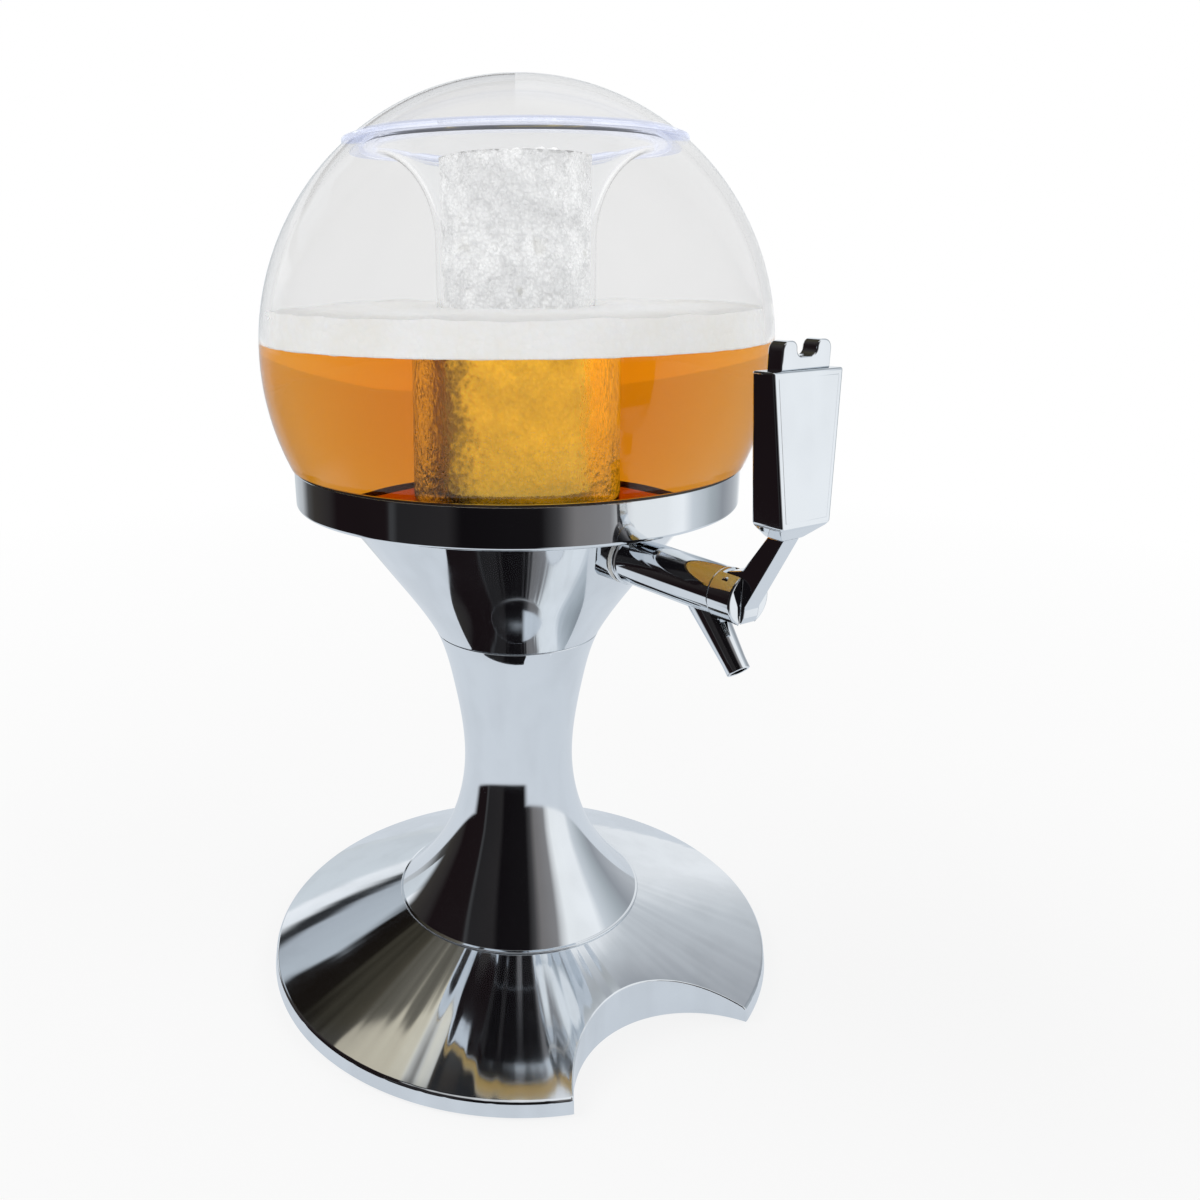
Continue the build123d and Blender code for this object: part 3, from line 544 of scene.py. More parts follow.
def new_finish(name, recipe, *settings, **constants):
    """A material with one Principled shader: a recipe gives its varying inputs, constants the rest."""
    material = bpy.data.materials.new(name)
    material.use_nodes = True
    shop = Shop(material.node_tree)
    inputs = {key.replace("_", " "): value for key, value in constants.items()}
    inputs.update(recipe(shop, *settings))
    volume = inputs.pop("volume", None)
    ends = {"Surface": shop.add("ShaderNodeBsdfPrincipled", {}, inputs)}
    if volume:
        ends["Volume"] = volume
    output = shop.tree.nodes.new("ShaderNodeOutputMaterial")
    for key, wire in ends.items():
        shop.tree.links.new(wire.socket, output.inputs[key])
    FINISHES[name] = material


def plated_look(shop, tint, low_rough, high_rough, wave, streaks=0.0):
    """Polished plating with a faint ripple and, if asked for, flow marks that run out from the middle."""
    smudge = shop.grain(26.0, 3.0)
    streak = shop.grain(60.0, 2.0, (1, 1, 0.25))
    ripple = shop.grain(22.0, 1.0)
    fine = shop.grain(420.0)
    outward = shop.add("ShaderNodeVectorMath", {"operation": "NORMALIZE"}, {0: shop.place((1, 1, 0))})
    flow = shop.add("ShaderNodeTexNoise", {}, {"Vector": outward, "Scale": 5.0, "Detail": 2.0})
    azimuth = shop.heading()[0]
    flow = flow * (0.12 + shop.window(azimuth, -48, 75, 50) * 0.88)
    return {
        "Base Color": shop.blend(shop.spread(smudge * streak, 0.2, 0.34), tint, shades(tint, 0.94)),
        "Roughness": shop.spread(smudge, 0.35, 0.7, low_rough, high_rough),
        "Normal": shop.bump(ripple + fine * 0.02 + flow * streaks, wave, 0.0006),
    }


def seam_edge(shop, low, inner):
    """Where a clear piece comes close to the tinted seal, above a height and outside a radius."""
    radius, height = shop.heading()[1:]
    return shop.window(height, low * MM, (LID_Z + 0.3) * MM, 0.2 * MM) * shop.step(radius, inner * MM, MM)


# Painted glow along the seal's line, in its lilac tint
def seam_glow(shop, rim):
    return shop.blend(rim * SEAM_GLOW, BLACK, SEAM_TINT)


def clear_look(shop, tint, rough):
    """Clear plastic with faint smudges, tinted and given a painted glow where it meets the lid's seal."""
    smudge = shop.grain(35.0, 3.0)
    streak = shop.grain(140.0, 2.0, (1, 1, 0.08))
    rim = seam_edge(shop, MOUTH_Z - 0.2, 60.5)
    body = shop.blend(shop.spread(smudge, 0.4, 0.8), tint, shades(tint, 0.985))
    return {
        "Base Color": shop.blend(rim, body, SEAM_TINT),
        "Roughness": shop.spread(smudge * streak, 0.2, 0.42, rough * 0.3, rough),
        "Emission Color": seam_glow(shop, rim),
        "Normal": shop.bump(shop.grain(14.0, 1.0), 0.12, 0.0004),
    }


def frosted_look(shop):
    """Clear plastic whose outside is beaded with frost where the beer chills it, tinted and given a painted
    glow where it meets the lid's seal.
    """
    height = shop.heading()[2]
    frost = shop.spread(height, FROST_TOP_Z * MM, FROST_LOW_Z * MM)
    beads = shop.add("ShaderNodeTexVoronoi", {"feature": "SMOOTH_F1"},
                     {"Vector": shop.place(), "Scale": 420.0, "Smoothness": 0.4})
    mist = shop.grain(900.0)
    rim = seam_edge(shop, MOUTH_Z - 2.6, 55.5)
    body = shop.blend(frost * shop.spread(beads, 0.2, 0.7), (0.99, 0.995, 1.0), (0.97, 0.96, 0.92))
    return {
        "Base Color": shop.blend(rim, body, SEAM_TINT),
        "Roughness": 0.02 + frost * shop.spread(mist, 0.3, 0.7, 0.08, 0.3),
        "Emission Color": seam_glow(shop, rim),
        "Normal": shop.bump(frost * (beads + mist * 0.5), 0.55, 0.0005),
    }


def plain_look(shop, first, second, scale, rough_low, rough_high, bump=0.2, bump_scale=900.0):
    """A two-tone moulded, cast or turned surface with a fine grain."""
    patch = shop.grain(scale, 4.0)
    fine = shop.grain(bump_scale, 3.0)
    return {
        "Base Color": shop.blend(shop.spread(patch, 0.35, 0.65), first, second),
        "Roughness": shop.spread(patch + fine * 0.3, 0.45, 0.8, rough_low, rough_high),
        "Normal": shop.bump(fine, bump, 0.0002),
    }


def foam_look(shop, tint):
    """Foam of fine bubbles, a few of them large, with a painted glow in its own colours."""
    bubbles = shop.cells(380.0)
    large = shop.cells(130.0)
    cloud = shop.grain(30.0, 4.0)
    tone = shop.blend(shop.spread(cloud + bubbles * 0.3, 0.45, 0.85), tint, shades(tint, 0.95, 0.93, 0.88))
    return {
        "Base Color": tone,
        # Painted glow: the foam also glows in its own colours
        "Emission Color": tone,
        "Roughness": shop.spread(bubbles, 0.1, 0.6, 0.55, 0.8),
        "Normal": shop.bump(bubbles + large * 0.6 + cloud, 0.5, 0.0008),
    }


def ice_look(shop, scale, rough_low, rough_high, shade):
    """Crushed ice: white, with painted shade in the hollows between its facets, a few brownish spots, and a
    painted glow in the same colours.
    """
    large = shop.cells(scale)
    small = shop.cells(scale * 3.2)
    cloud = shop.grain(scale * 0.4, 4.0)
    facets = large * 0.6 + small * 0.4
    spots = shop.step(shop.grain(75.0, 3.0), 0.65, 0.05)
    tone = shop.blend(shop.spread(cloud + facets * 0.6, 0.55, 0.95), (1.0, 1.0, 0.995), (shade,) * 3)
    tone = shop.blend(spots * 0.22, tone, (0.4, 0.38, 0.3))
    return {
        "Base Color": tone,
        "Roughness": shop.spread(cloud + facets * 0.3, 0.4, 0.9, rough_low, rough_high),
        # Painted glow: the ice also glows in its own colours
        "Emission Color": tone,
        "Normal": shop.bump(facets + cloud * 0.7, 1.0, 0.004),
    }


def beer_look(shop, density, tint):
    """Clear beer, with a skin of cold bubbles round the ice core: gold with a painted glow, and painted
    brown shade on one side.
    """
    haze = shop.grain(45.0)
    azimuth, radius, height = shop.heading()
    low = CORE_Z * MM
    skin = (1.0 - shop.step(radius, (CORE_R + 1.0) * MM, MM)) * shop.step(height, low, MM)
    grit = shop.grain(520.0, 3.0)
    grains = grit + shop.grain(70.0, 3.0)
    # Painted shade: the bubble skin is painted brown across SHADED_SIDE, with a ragged edge
    shaded = shop.window(azimuth + (grains - 1.0) * 32.0, *SHADED_SIDE, 20)
    # Painted glow: the bubble skin glows gold, stronger towards the beer's surface and nowhere on the
    # painted shade
    depth = shop.spread(height, low, BEER_Z * MM, 0.5, 1.0)
    light = shop.spread(grains, 0.8, 1.2, 0.13, 0.31) * depth * (1.0 - shaded)
    clear = shop.blend(shop.spread(haze, 0.3, 0.7), (1.0, 0.995, 0.98), (0.99, 0.98, 0.95))
    # The bubbles' gold, painted brown where the painted shade falls
    bubbles = shop.blend(shaded, (0.97, 0.84, 0.2), (0.22, 0.14, 0.07))
    return {
        "Base Color": shop.blend(skin, clear, bubbles),
        "Roughness": shop.spread(haze, 0.3, 0.7, 0.0, 0.01),
        "Emission Color": shop.blend(skin * light, BLACK, (1.0, 0.74, 0.04)),
        "Normal": shop.bump(skin * grains, 0.4, 0.001),
        "volume": shop.add("ShaderNodeVolumeAbsorption", {}, {"Color": colour(*tint), "Density": density}),
    }


def make_finishes(colours):
    """Make every finish, from the colours that the panel holds."""
    tint = tuple(colours.plating)
    # Clear pieces and the beer glow at full strength where their painted glow is: the line along the lid's
    # seal and the beer's bubble skin
    see_through = {"Transmission_Weight": 1.0, "Emission_Strength": 1.0}
    new_finish("plated_plastic", plated_look, tint, 0.03, 0.075, 0.05, Metallic=1.0)
    new_finish("plated_foot", plated_look, tint, 0.04, 0.09, 0.05, 40.0, Metallic=1.0)
    new_finish("plated_plate", plated_look, tint, 0.06, 0.12, 0.03, Metallic=1.0)
    new_finish("clear_plastic", clear_look, (1, 1, 1), 0.03, IOR=CLEAR_IOR, **see_through)
    new_finish("core_plastic", frosted_look, IOR=1.13, **see_through)
    new_finish("lilac_seal", clear_look, tuple(colours.seal), 0.1, IOR=1.06, **see_through)
    new_finish("beer", beer_look, colours.beer_depth, tuple(colours.beer), IOR=1.34, **see_through)
    # Painted glow: the foam glows faintly in its own colours
    new_finish("foam", foam_look, tuple(colours.foam),
               Subsurface_Weight=0.3, Subsurface_Radius=(0.004, 0.0035, 0.003), Emission_Strength=0.24)
    # Painted glow: the ice lumps and the snowy middle glow faintly in their own colours
    new_finish("ice", ice_look, 150.0, 0.08, 0.4, 0.82,
               Transmission_Weight=0.12, IOR=1.31, Emission_Strength=0.42)
    new_finish("snow", ice_look, 170.0, 0.4, 0.8, 0.8, Emission_Strength=0.42)
    new_finish("dark_seal", plain_look, (0.03, 0.018, 0.012), (0.05, 0.03, 0.02), 60.0, 0.3, 0.5)
    new_finish("black_rubber", plain_look, (0.02, 0.02, 0.021), (0.035, 0.034, 0.034), 80.0, 0.6, 0.85, 0.4)
    new_finish("black_plastic", plain_look, (0.024, 0.024, 0.026), (0.036, 0.036, 0.038), 50.0, 0.35, 0.55,
               0.3)
    new_finish("white_plastic", plain_look, (0.8, 0.8, 0.78), (0.74, 0.74, 0.72), 40.0, 0.3, 0.5)
    new_finish("clear_hose", clear_look, (0.93, 0.94, 0.92), 0.2, Transmission_Weight=0.8, IOR=1.42)
    new_finish("ballast_iron", plain_look, (0.16, 0.155, 0.15), (0.23, 0.2, 0.17), 70.0, 0.5, 0.8,
               0.6, 500.0, Metallic=0.8)
    new_finish("screw_steel", plain_look, (0.6, 0.6, 0.6), (0.48, 0.48, 0.49), 300.0, 0.25, 0.45,
               Metallic=1.0)


NODE_FINISHES = {
    "plated_plastic": ("pivot_pin",),
    "black_plastic": ("bottom_plate", "support_plate", "outlet_union"),
    "black_rubber": ("rubber_feet", "floor_gasket", "union_washer", "shank_washer", "valve_seal", "rod_seal",
                     "end_ring"),
    "ballast_iron": ("ballast_ring",),
    "screw_steel": ("plate_screws", "ballast_screws", "column_screws", "neck_screws", "ring_screws",
                    "shank_nut", "hose_clamps", "handle_screw"),
    "clear_hose": ("feed_hose",),
    "white_plastic": ("plunger_rod",),
    "clear_plastic": ("drain_spigot",),
}


def length(name, description, default):
    return bpy.props.FloatProperty(name=name, description=description, unit="LENGTH", default=default)


def tinted(name, description, default):
    return bpy.props.FloatVectorProperty(
        name=name, description=description, subtype="COLOR", size=3, default=default, min=0, max=1)


class DispenserSizes(bpy.types.PropertyGroup):
    """Sizes of the dispenser, taken from the frame."""

    foot_radius: length("Foot radius", "Radius of the foot at the table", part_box("foot_shell")[1].y)
    ring_radius: length("Ring radius", "Outer radius of the collar ring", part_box("collar_ring")[1].y)
    ball_radius: length(
        "Ball radius", "Outer radius of the clear ball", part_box("lid_dome")[1].z - BALL_Z * MM)
    ball_wall: length("Ball wall", "Thickness of the ball's wall", 0.0036)
    lid_wall: length("Lid wall", "Thickness of the lid's wall", 0.0024)
    beer_level: length("Beer level", "Height of the beer's surface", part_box("beer")[1].z)
    foam_level: length("Foam level", "Height of the top of the foam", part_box("foam")[1].z)
    ice_level: length("Ice level", "Height of the top of the crushed ice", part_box("ice")[1].z)
    ice_lumps: bpy.props.IntProperty(
        name="Ice lumps", description="How many lumps of crushed ice fill the core", default=420, min=10)


class DispenserColours(bpy.types.PropertyGroup):
    """Colours of the dispenser's finishes."""

    plating: tinted("Plating", "Tint of the chrome plating", (0.82, 0.85, 0.88))
    seal: tinted("Lid seal", "Tint of the seal under the lid", (0.72, 0.73, 0.83))
    beer: tinted("Beer", "Colour of light that has passed through the beer", (0.95, 0.74, 0.01))
    beer_depth: bpy.props.FloatProperty(
        name="Beer depth", description="How strongly the beer colours the light, per metre", default=30.0)
    foam: tinted("Foam", "Colour of the foam", (0.92, 0.925, 0.93))


def sizes():
    return bpy.context.scene.dispenser_sizes


def ball_radius():
    return sizes().ball_radius / MM


def ball_bore():
    return (sizes().ball_radius - sizes().ball_wall) / MM


# Stand

def foot_corners(radius, wall):
    """Half of the foot's section, a wall's thickness inside its skin."""
    slope = (RIDGE_Z - CONE_Z) / (CONE_R - RIDGE_R)
    drop = wall * math.sqrt(1 + slope**2)
    fine = 0.0 if wall else 1.0
    return rounded([
        (0, FOOT_LOW_Z - wall),
        (radius - wall, FOOT_LOW_Z - wall, 0.4 * fine),
        (RIM_R - wall, RIM_Z - drop, 0.9 * fine),
        (CONE_R - wall, CONE_Z + wall * slope - drop, 0.35 * fine),
        (RIDGE_R - wall, RIDGE_Z + wall * slope - drop, 0.3 * fine),
        (0, RIDGE_Z + wall * slope - drop),
    ], closed=False)


class DISPENSER_OT_foot(bpy.types.Operator):
    """Model the foot: a shallow hollow cone with a raised rim and a round bay for the glass"""

    bl_idname = "dispenser.foot"
    bl_label = "Foot"

    def execute(self, context):
        radius = sizes().foot_radius / MM
        foot = turned("foot", foot_corners(radius, 0.0), steps=360, closed=False)
        hollow = turned("hollow", foot_corners(radius, FOOT_WALL), steps=180, closed=False)
        for piece, bay_radius in ((foot, BAY_R), (hollow, BAY_R + FOOT_WALL)):
            bay = cylinder("bay", bay_radius, BELOW_FOOT_Z, ABOVE_FOOT_Z, BAY_AXIS, 360)
            combine(piece, bay)
        combine(foot, hollow)
        combine(foot, cylinder("shelf", SHELF_R, SHELF_Z, ABOVE_FOOT_Z, COLUMN_AXIS, 96))
        edit(foot)
        bpy.ops.mesh.remove_doubles(threshold=0.25 * MM)
        finish_edit()
        middle = Vector((BAY_X, 0))

        def on_bay_lip(a, b):
            on_wall = all(abs((end.xy - middle).length - BAY_R) < 0.05 for end in (a, b))
            upright = abs(a.xy.length - b.xy.length) + abs(a.y - b.y) <= 1e-3
            return on_wall and not upright and min(a.z, b.z) > FOOT_LOW_Z + 0.1
        soften(foot, 0.7, on_bay_lip, 3)
        dress(foot, "stand", "plated_plastic", "foot_shell", finish="plated_foot")
        return {"FINISHED"}


class DISPENSER_OT_column(bpy.types.Operator):
    """Model the waisted column, with a lip where it stands on the foot"""

    bl_idname = "dispenser.column"
    bl_label = "Column"

    def execute(self, context):
        knots = [(RIDGE_R, RIDGE_Z), (36.2, 60), (25.7, 99), (30, 141), (NECK_R, NECK_Z - 0.15)]
        run = smooth_run(knots, (-1, 0.92), (0.46, 1), 20)
        inner = offset_run(run, COLUMN_WALL)
        base = RIDGE_Z + HAIR
        floor = RIDGE_Z + COLUMN_FLOOR
        lip = [(RIDGE_R - 1.2, base), (RIDGE_R - 0.1, base, 0.4), (RIDGE_R - 0.1, RIDGE_Z + 1.0, 0.5),
               (RIDGE_R - 1.4, RIDGE_Z + 1.3, 0.3)]
        outline = rounded(
            lip + run[2:-1] + [(*run[-1], 0.4), (COLUMN_TOP_BORE, run[-1][1])]
            + [point for point in reversed(inner) if floor < point[1] < COLUMN_LAND_Z]
            + [(COLUMN_BASE_R, floor), (COLUMN_BASE_BORE, floor), (COLUMN_BASE_BORE, base)])
        column = turned("column", outline, steps=256)
        dress(column, "stand", "plated_plastic", "column")
        return {"FINISHED"}


class DISPENSER_OT_neck(bpy.types.Operator):
    """Model the flared neck and the spot-faced boss that the tap screws into"""

    bl_idname = "dispenser.neck"
    bl_label = "Neck"

    def execute(self, context):
        run = smooth_run([(NECK_R, NECK_Z), (56.3, 195), (NECK_TOP_R, RING_Z)], (0.52, 1), (0.78, 1), 28)
        inner = offset_run(run, NECK_WALL)
        low = NECK_Z + NECK_SHELF
        high = RING_Z - NECK_SHELF
        outline = rounded(
            [(*run[0], 0.4)] + run[1:] + [(NECK_BORE, RING_Z), (NECK_BORE, high)]
            + [point for point in reversed(inner) if low < point[1] < high]
            + [(PLUG_BORE, low), (PLUG_BORE, PLUG_FLOOR_Z), (PLUG_HOLE_R, PLUG_FLOOR_Z),
               (PLUG_HOLE_R, PLUG_Z), (PLUG_R, PLUG_Z), (PLUG_R, NECK_Z)])
        neck = turned("neck", outline, steps=288)
        boss = [(0, BOSS_BACK_X), (BOSS_R, BOSS_BACK_X), (BOSS_R, BOSS_X, 0.5), (0, BOSS_X)]
        combine(neck, turned("boss", rounded(boss, closed=False), TAP_AXIS, 72, closed=False), "UNION")
        combine(neck, cylinder("face", BOSS_R + 0.5, BOSS_X, BOSS_X + 15, TAP_AXIS, 72))
        bore = cylinder("bore", SHANK_HOLE_R, BOSS_BACK_X - 3.5, BOSS_X + 2, TAP_AXIS, 48)
        combine(neck, bore)
        edit(neck)
        close_up()
        dress(neck, "stand", "plated_plastic", "neck_bell")
        return {"FINISHED"}


class DISPENSER_OT_ring(bpy.types.Operator):
    """Model the collar ring round the bottom of the ball, and the dark rubber lip on it"""

    bl_idname = "dispenser.ring"
    bl_label = "Collar ring"

    def execute(self, context):
        radius = sizes().ring_radius / MM
        ring = turned("collar_ring_piece", rounded([
            (radius, RING_Z, 1.8), (radius, RING_TOP_Z, 0.45), (RING_BORE, RING_TOP_Z, 0.3),
            (RING_BORE, RING_FLOOR_Z), (NECK_BORE, RING_FLOOR_Z), (NECK_BORE, RING_Z)]), steps=288)
        dress(ring, "stand", "plated_plastic", "collar_ring")
        outside = radius - 0.2
        inside = SKIRT_R + 0.1
        lip = turned("lip", rounded([
            (outside, RING_TOP_Z, 0.2), (outside, SEAL_TOP_Z, 0.4), (inside, SEAL_TOP_Z),
            (inside, RING_TOP_Z)]), steps=256)
        dress(lip, "stand", "dark_seal", "lip_seal")
        return {"FINISHED"}


# Ball

class DISPENSER_OT_ball(bpy.types.Operator):
    """Model the clear ball: open at the top, with a stepped skirt, a flat floor and a drain"""

    bl_idname = "dispenser.ball"
    bl_label = "Ball"

    def execute(self, context):
        outer = ball_run(ball_radius(), SEAL_TOP_Z, MOUTH_Z, 72)
        inner = list(reversed(ball_run(ball_bore(), FLOOR_TOP_Z, MOUTH_Z, 72)))
        under = rounded([
            inner[-1], (DRAIN_R, FLOOR_TOP_Z), (DRAIN_R, FLOOR_Z), (SKIRT_R - SKIRT_BEVEL, FLOOR_Z, 0.5),
            (SKIRT_R, FLOOR_Z + SKIRT_BEVEL, 0.5), (SKIRT_R, SEAL_TOP_Z), outer[0]], closed=False)
        ball = turned("ball", outer + inner + under[1:-1], steps=224)
        dress(ball, "stand", "clear_plastic", "globe")
        return {"FINISHED"}


class DISPENSER_OT_core(bpy.types.Operator):
    """Model the ice core: a closed clear tube with a trumpet mouth and a flange"""

    bl_idname = "dispenser.core"
    bl_label = "Ice core"

    def execute(self, context):
        plug_z = MOUTH_Z - MOUTH_PLUG
        floor = CORE_Z + CORE_WALL
        knots = [(CORE_R, MOUTH_Z - FLARE_DEPTH), (46.5, MOUTH_Z - 6), (FLARE_MOUTH_R, plug_z)]
        flare = smooth_run(knots, (0, 1), (1, 0.1), 18)
        inner = offset_run(flare, CORE_WALL)
        plug = level_radius(ball_bore(), MOUTH_Z) - 0.3
        flange = level_radius(ball_radius(), MOUTH_Z) + FLANGE_PROUD
        outline = rounded(
            [(0, CORE_Z), (CORE_R, CORE_Z, 4.0)] + flare
            + [(plug, plug_z), (plug, MOUTH_Z), (flange, MOUTH_Z, 0.3), (flange, FLANGE_TOP_Z, 0.3),
               (inner[-1][0], FLANGE_TOP_Z, 0.3)]
            + inner[::-1] + [(CORE_R - CORE_WALL, floor, 2.0), (0, floor)], closed=False)
        core = turned("ice_core_piece", outline, steps=160, closed=False)
        dress(core, "core", "clear_plastic", "ice_core", finish="core_plastic")
        return {"FINISHED"}


class DISPENSER_OT_lid(bpy.types.Operator):
    """Model the lid's dome and the tinted seal under it"""

    bl_idname = "dispenser.lid"
    bl_label = "Lid"

    def execute(self, context):
        radius = ball_radius()
        bore = radius - sizes().lid_wall / MM
        outer = ball_run(radius, LID_Z, BALL_Z + radius, 40)
        inner = ball_run(bore, LID_Z, BALL_Z + bore, 40)
        dome = turned("dome", inner[::-1] + outer, steps=192, closed=False)
        dress(dome, "lid", "clear_plastic", "lid_dome")
        reach = level_radius(radius, LID_Z) + FLANGE_PROUD
        inside = reach - SEAL_WIDTH
        seal = turned("seal", rounded([
            (reach, FLANGE_TOP_Z, 0.25), (reach, LID_Z, 0.25), (inside, LID_Z), (inside, FLANGE_TOP_Z)]))
        dress(seal, "core", "lilac_seal", "lid_seal")
        return {"FINISHED"}


class DISPENSER_OT_contents(bpy.types.Operator):
    """Model the beer and the foam that floats on it"""

    bl_idname = "dispenser.contents"
    bl_label = "Beer and foam"

    def execute(self, context):
        level = sizes().beer_level / MM
        top = sizes().foam_level / MM
        floor = FLOOR_TOP_Z - 0.05
        hole = CORE_R - 0.1
        hole_z = CORE_Z + 0.1
        inside = rounded([(hole, level), (hole, hole_z, 3.9), (0, hole_z)], closed=False)
        outside = ball_run(ball_bore() + 0.08, floor, level, 48)
        beer = turned("beer_body", [(0, floor)] + outside + inside, steps=192, closed=False)
        dress(beer, "stand", "beer", "beer")

        low = level - 0.1
        rim = top - 1.2
        inside = CORE_R + 0.05
        outside = ball_run(ball_bore() - 0.05, low, rim, 14)
        surface = [(outside[-1][0] - 6 * step, rim + 0.6) for step in range(1, 10)]
        foam = turned("foam_head", [(inside, low)] + outside + surface
                      + [(CORE_R + 6, top - 0.5), (inside, top - 0.5)], steps=192)
        for vertex in foam.data.vertices:
            z = vertex.co.z / MM
            place = vertex.co / MM
            if z > low + 5:
                swell = noise.fractal(place * 0.045, 1.0, 2.0, 3) * 1.6
                vertex.co.z = min(z + swell * min(1.0, (z - low - 5) / 8), top) * MM
            elif z < low + 0.01 and vertex.co.xy.length > 60 * MM:
                vertex.co.z -= abs(noise.noise(place * 0.2)) * 0.5 * MM
        dress(foam, "stand", "foam", "foam")
        return {"FINISHED"}


class DISPENSER_OT_ice(bpy.types.Operator):
    """Model the crushed ice: a snowy middle with lumps packed round and over it"""

    bl_idname = "dispenser.ice"
    bl_label = "Crushed ice"

    def execute(self, context):
        chance = random.Random(7)
        low = CORE_Z + CORE_WALL + 0.2
        high = sizes().ice_level / MM
        reach = CORE_R - CORE_WALL - 0.3
        side = [(reach + 0.1, low + 3 + (high - 6 - low) * step / 60) for step in range(61)]
        outline = [(0, low), (reach - 3, low)] + side + [(reach - 5, high - 2.5), (0, high - 2.5)]
        middle = turned("ice_middle", outline, steps=120, closed=False, smooth=180)
        for vertex in middle.data.vertices:
            place = vertex.co / MM
            if place.xy.length > 1:
                dent = max(0.0, noise.noise(place * 0.11)) * 2.2 + max(0.0, noise.noise(place * 0.35)) * 1.6
                vertex.co.xy *= 1 - dent / place.xy.length
        dress(middle, "core", "ice", finish="snow")

        kinds = []
        for kind in range(6):
            pick()
            bpy.ops.mesh.primitive_ico_sphere_add(subdivisions=1, radius=1.0)
            lump = name_piece(bpy.context.object, f"lump_{kind}")
            for vertex in lump.data.vertices:
                vertex.co *= chance.uniform(0.62, 1.0)
            apply_modifier(lump, "BEVEL", width=0.12, segments=1)
            kinds.append(lump)
        lumps = []
        for count in range(sizes().ice_lumps):
            size = chance.uniform(2.2, 5.5)
            on_top = count % 7 == 0
            if on_top:
                spread = (reach - size) * math.sqrt(chance.random())
            else:
                spread = reach - size * chance.uniform(0.9, 1.0)
            angle = chance.uniform(0, TURN)
            z = high - size - chance.uniform(0, 2) if on_top else chance.uniform(low + size, high - size)
            copy = kinds[count % len(kinds)].copy()
            copy.data = copy.data.copy()
            bpy.context.collection.objects.link(copy)
            turn = chance.uniform(0, TURN)
            spin = Matrix.Rotation(turn, 4, Vector([chance.uniform(-1, 1) for _ in range(3)]))
            shape = Matrix.Diagonal([size * chance.uniform(0.7, 1.0) * MM for _ in range(3)] + [1.0])
            place = Matrix.Translation(Vector((spread * math.cos(angle), spread * math.sin(angle), z)) * MM)
            copy.data.transform(place @ spin @ shape)
            lumps.append(copy)
        for kind in kinds:
            bpy.data.objects.remove(kind)
        pick(*lumps)
        bpy.ops.object.join()
        ice = name_piece(bpy.context.object, "ice_lumps")
        dress(ice, "core", "ice", "ice")
        return {"FINISHED"}


# Tap and handle

class DISPENSER_OT_tap(bpy.types.Operator):
    """Model the tap: washer, barrel, forked end cap and leaning spout"""

    bl_idname = "dispenser.tap"
    bl_label = "Tap"

    def execute(self, context):
        washer = turned("root_washer", rounded([
            (SHANK_HOLE_R, BOSS_X), (ROOT_R, BOSS_X, 0.4), (ROOT_R, BARREL_X, 0.4),
            (SHANK_HOLE_R, BARREL_X)]), TAP_AXIS, 96)
        dress(washer, "stand", "white_plastic", "tap_washer")
        body = turned("barrel", rounded([
            (DUCT_R, BARB_X), (BARB_R, BARB_X, 0.4), (BARB_R, SHANK_X), (SHANK_R, SHANK_X, 0.3),
            (SHANK_R, BARREL_X), (ROOT_R, BARREL_X, 0.3), (ROOT_R, ROOT_END_X, 0.35),
            (BARREL_R, ROOT_END_X + 0.2, 0.2), (BARREL_R, CAP_X, 0.35), (CHAMBER_R, CAP_X),
            (CHAMBER_R, CHAMBER_X), (SEAT_BORE, CHAMBER_X), (SEAT_BORE, SEAT_X), (INLET_R, SEAT_X),
            (INLET_R, INLET_X), (DUCT_R, INLET_X)]), TAP_AXIS, 128)
        dress(body, "stand", "plated_plastic", "tap_body")
        cap_x = CAP_X + 0.12
        cap = turned("end_cap", rounded([
            (CAP_PLUG_R, CAP_PLUG_X), (CAP_PLUG_R, cap_x), (CAP_R, cap_x, 0.35), (CAP_R, CAP_END_X, 0.8),
            (CAP_BORE, CAP_END_X), (CAP_BORE, CAP_PLUG_END_X), (ROD_HOLE_R, CAP_PLUG_END_X),
            (ROD_HOLE_R, CAP_PLUG_X)]), TAP_AXIS, 128)
        pick()
        bpy.ops.mesh.primitive_cube_add(size=1.0, location=(0, 0, 0))
        slot = name_piece(bpy.context.object, "fork_slot")
        edit()
        bpy.ops.transform.resize(value=Vector((12.0, FORK_WIDTH, 40.0)) * MM)
        bpy.ops.transform.translate(value=Vector((CAP_END_X - FORK_DEPTH + 6.0, 0, TAP_Z)) * MM)
        finish_edit()
        combine(cap, slot)

        def on_fork(a, b):
            beside = all(abs(abs(end.y) - FORK_WIDTH / 2) < 0.02 for end in (a, b))
            return beside and min(a.x, b.x) > CAP_END_X - FORK_DEPTH + 0.1 and (a - b).length > 0.02
        soften(cap, 0.3, on_fork, 2)
        dress(cap, "stand", "plated_plastic", "tap_cap")
        spout = turned("leaning_spout", rounded([
            (SPOUT_BORE, 4.5), (SPOUT_ROOT_R, 4.5), (SPOUT_ROOT_R - 0.1, 8.5), (SPOUT_TIP_R, 31.7),
            (SPOUT_TIP_R, 35.7, 0.35), (SPOUT_BORE, 35.7, 0.2)]), SPOUT_AXIS, 96)
        dress(spout, "stand", "plated_plastic", "spout")
        return {"FINISHED"}


def along_paddle(z, ends):
    """A size at a height, from its values at the paddle's bottom and top."""
    share = (z - PADDLE_Z) / (PADDLE_TOP_Z - PADDLE_Z)
    return ends[0] + (ends[1] - ends[0]) * share


def paddle_front(z):
    return PADDLE_X + along_paddle(z, PADDLE_DEPTHS)


def paddle_half(z):
    return along_paddle(z, PADDLE_WIDTHS) / 2


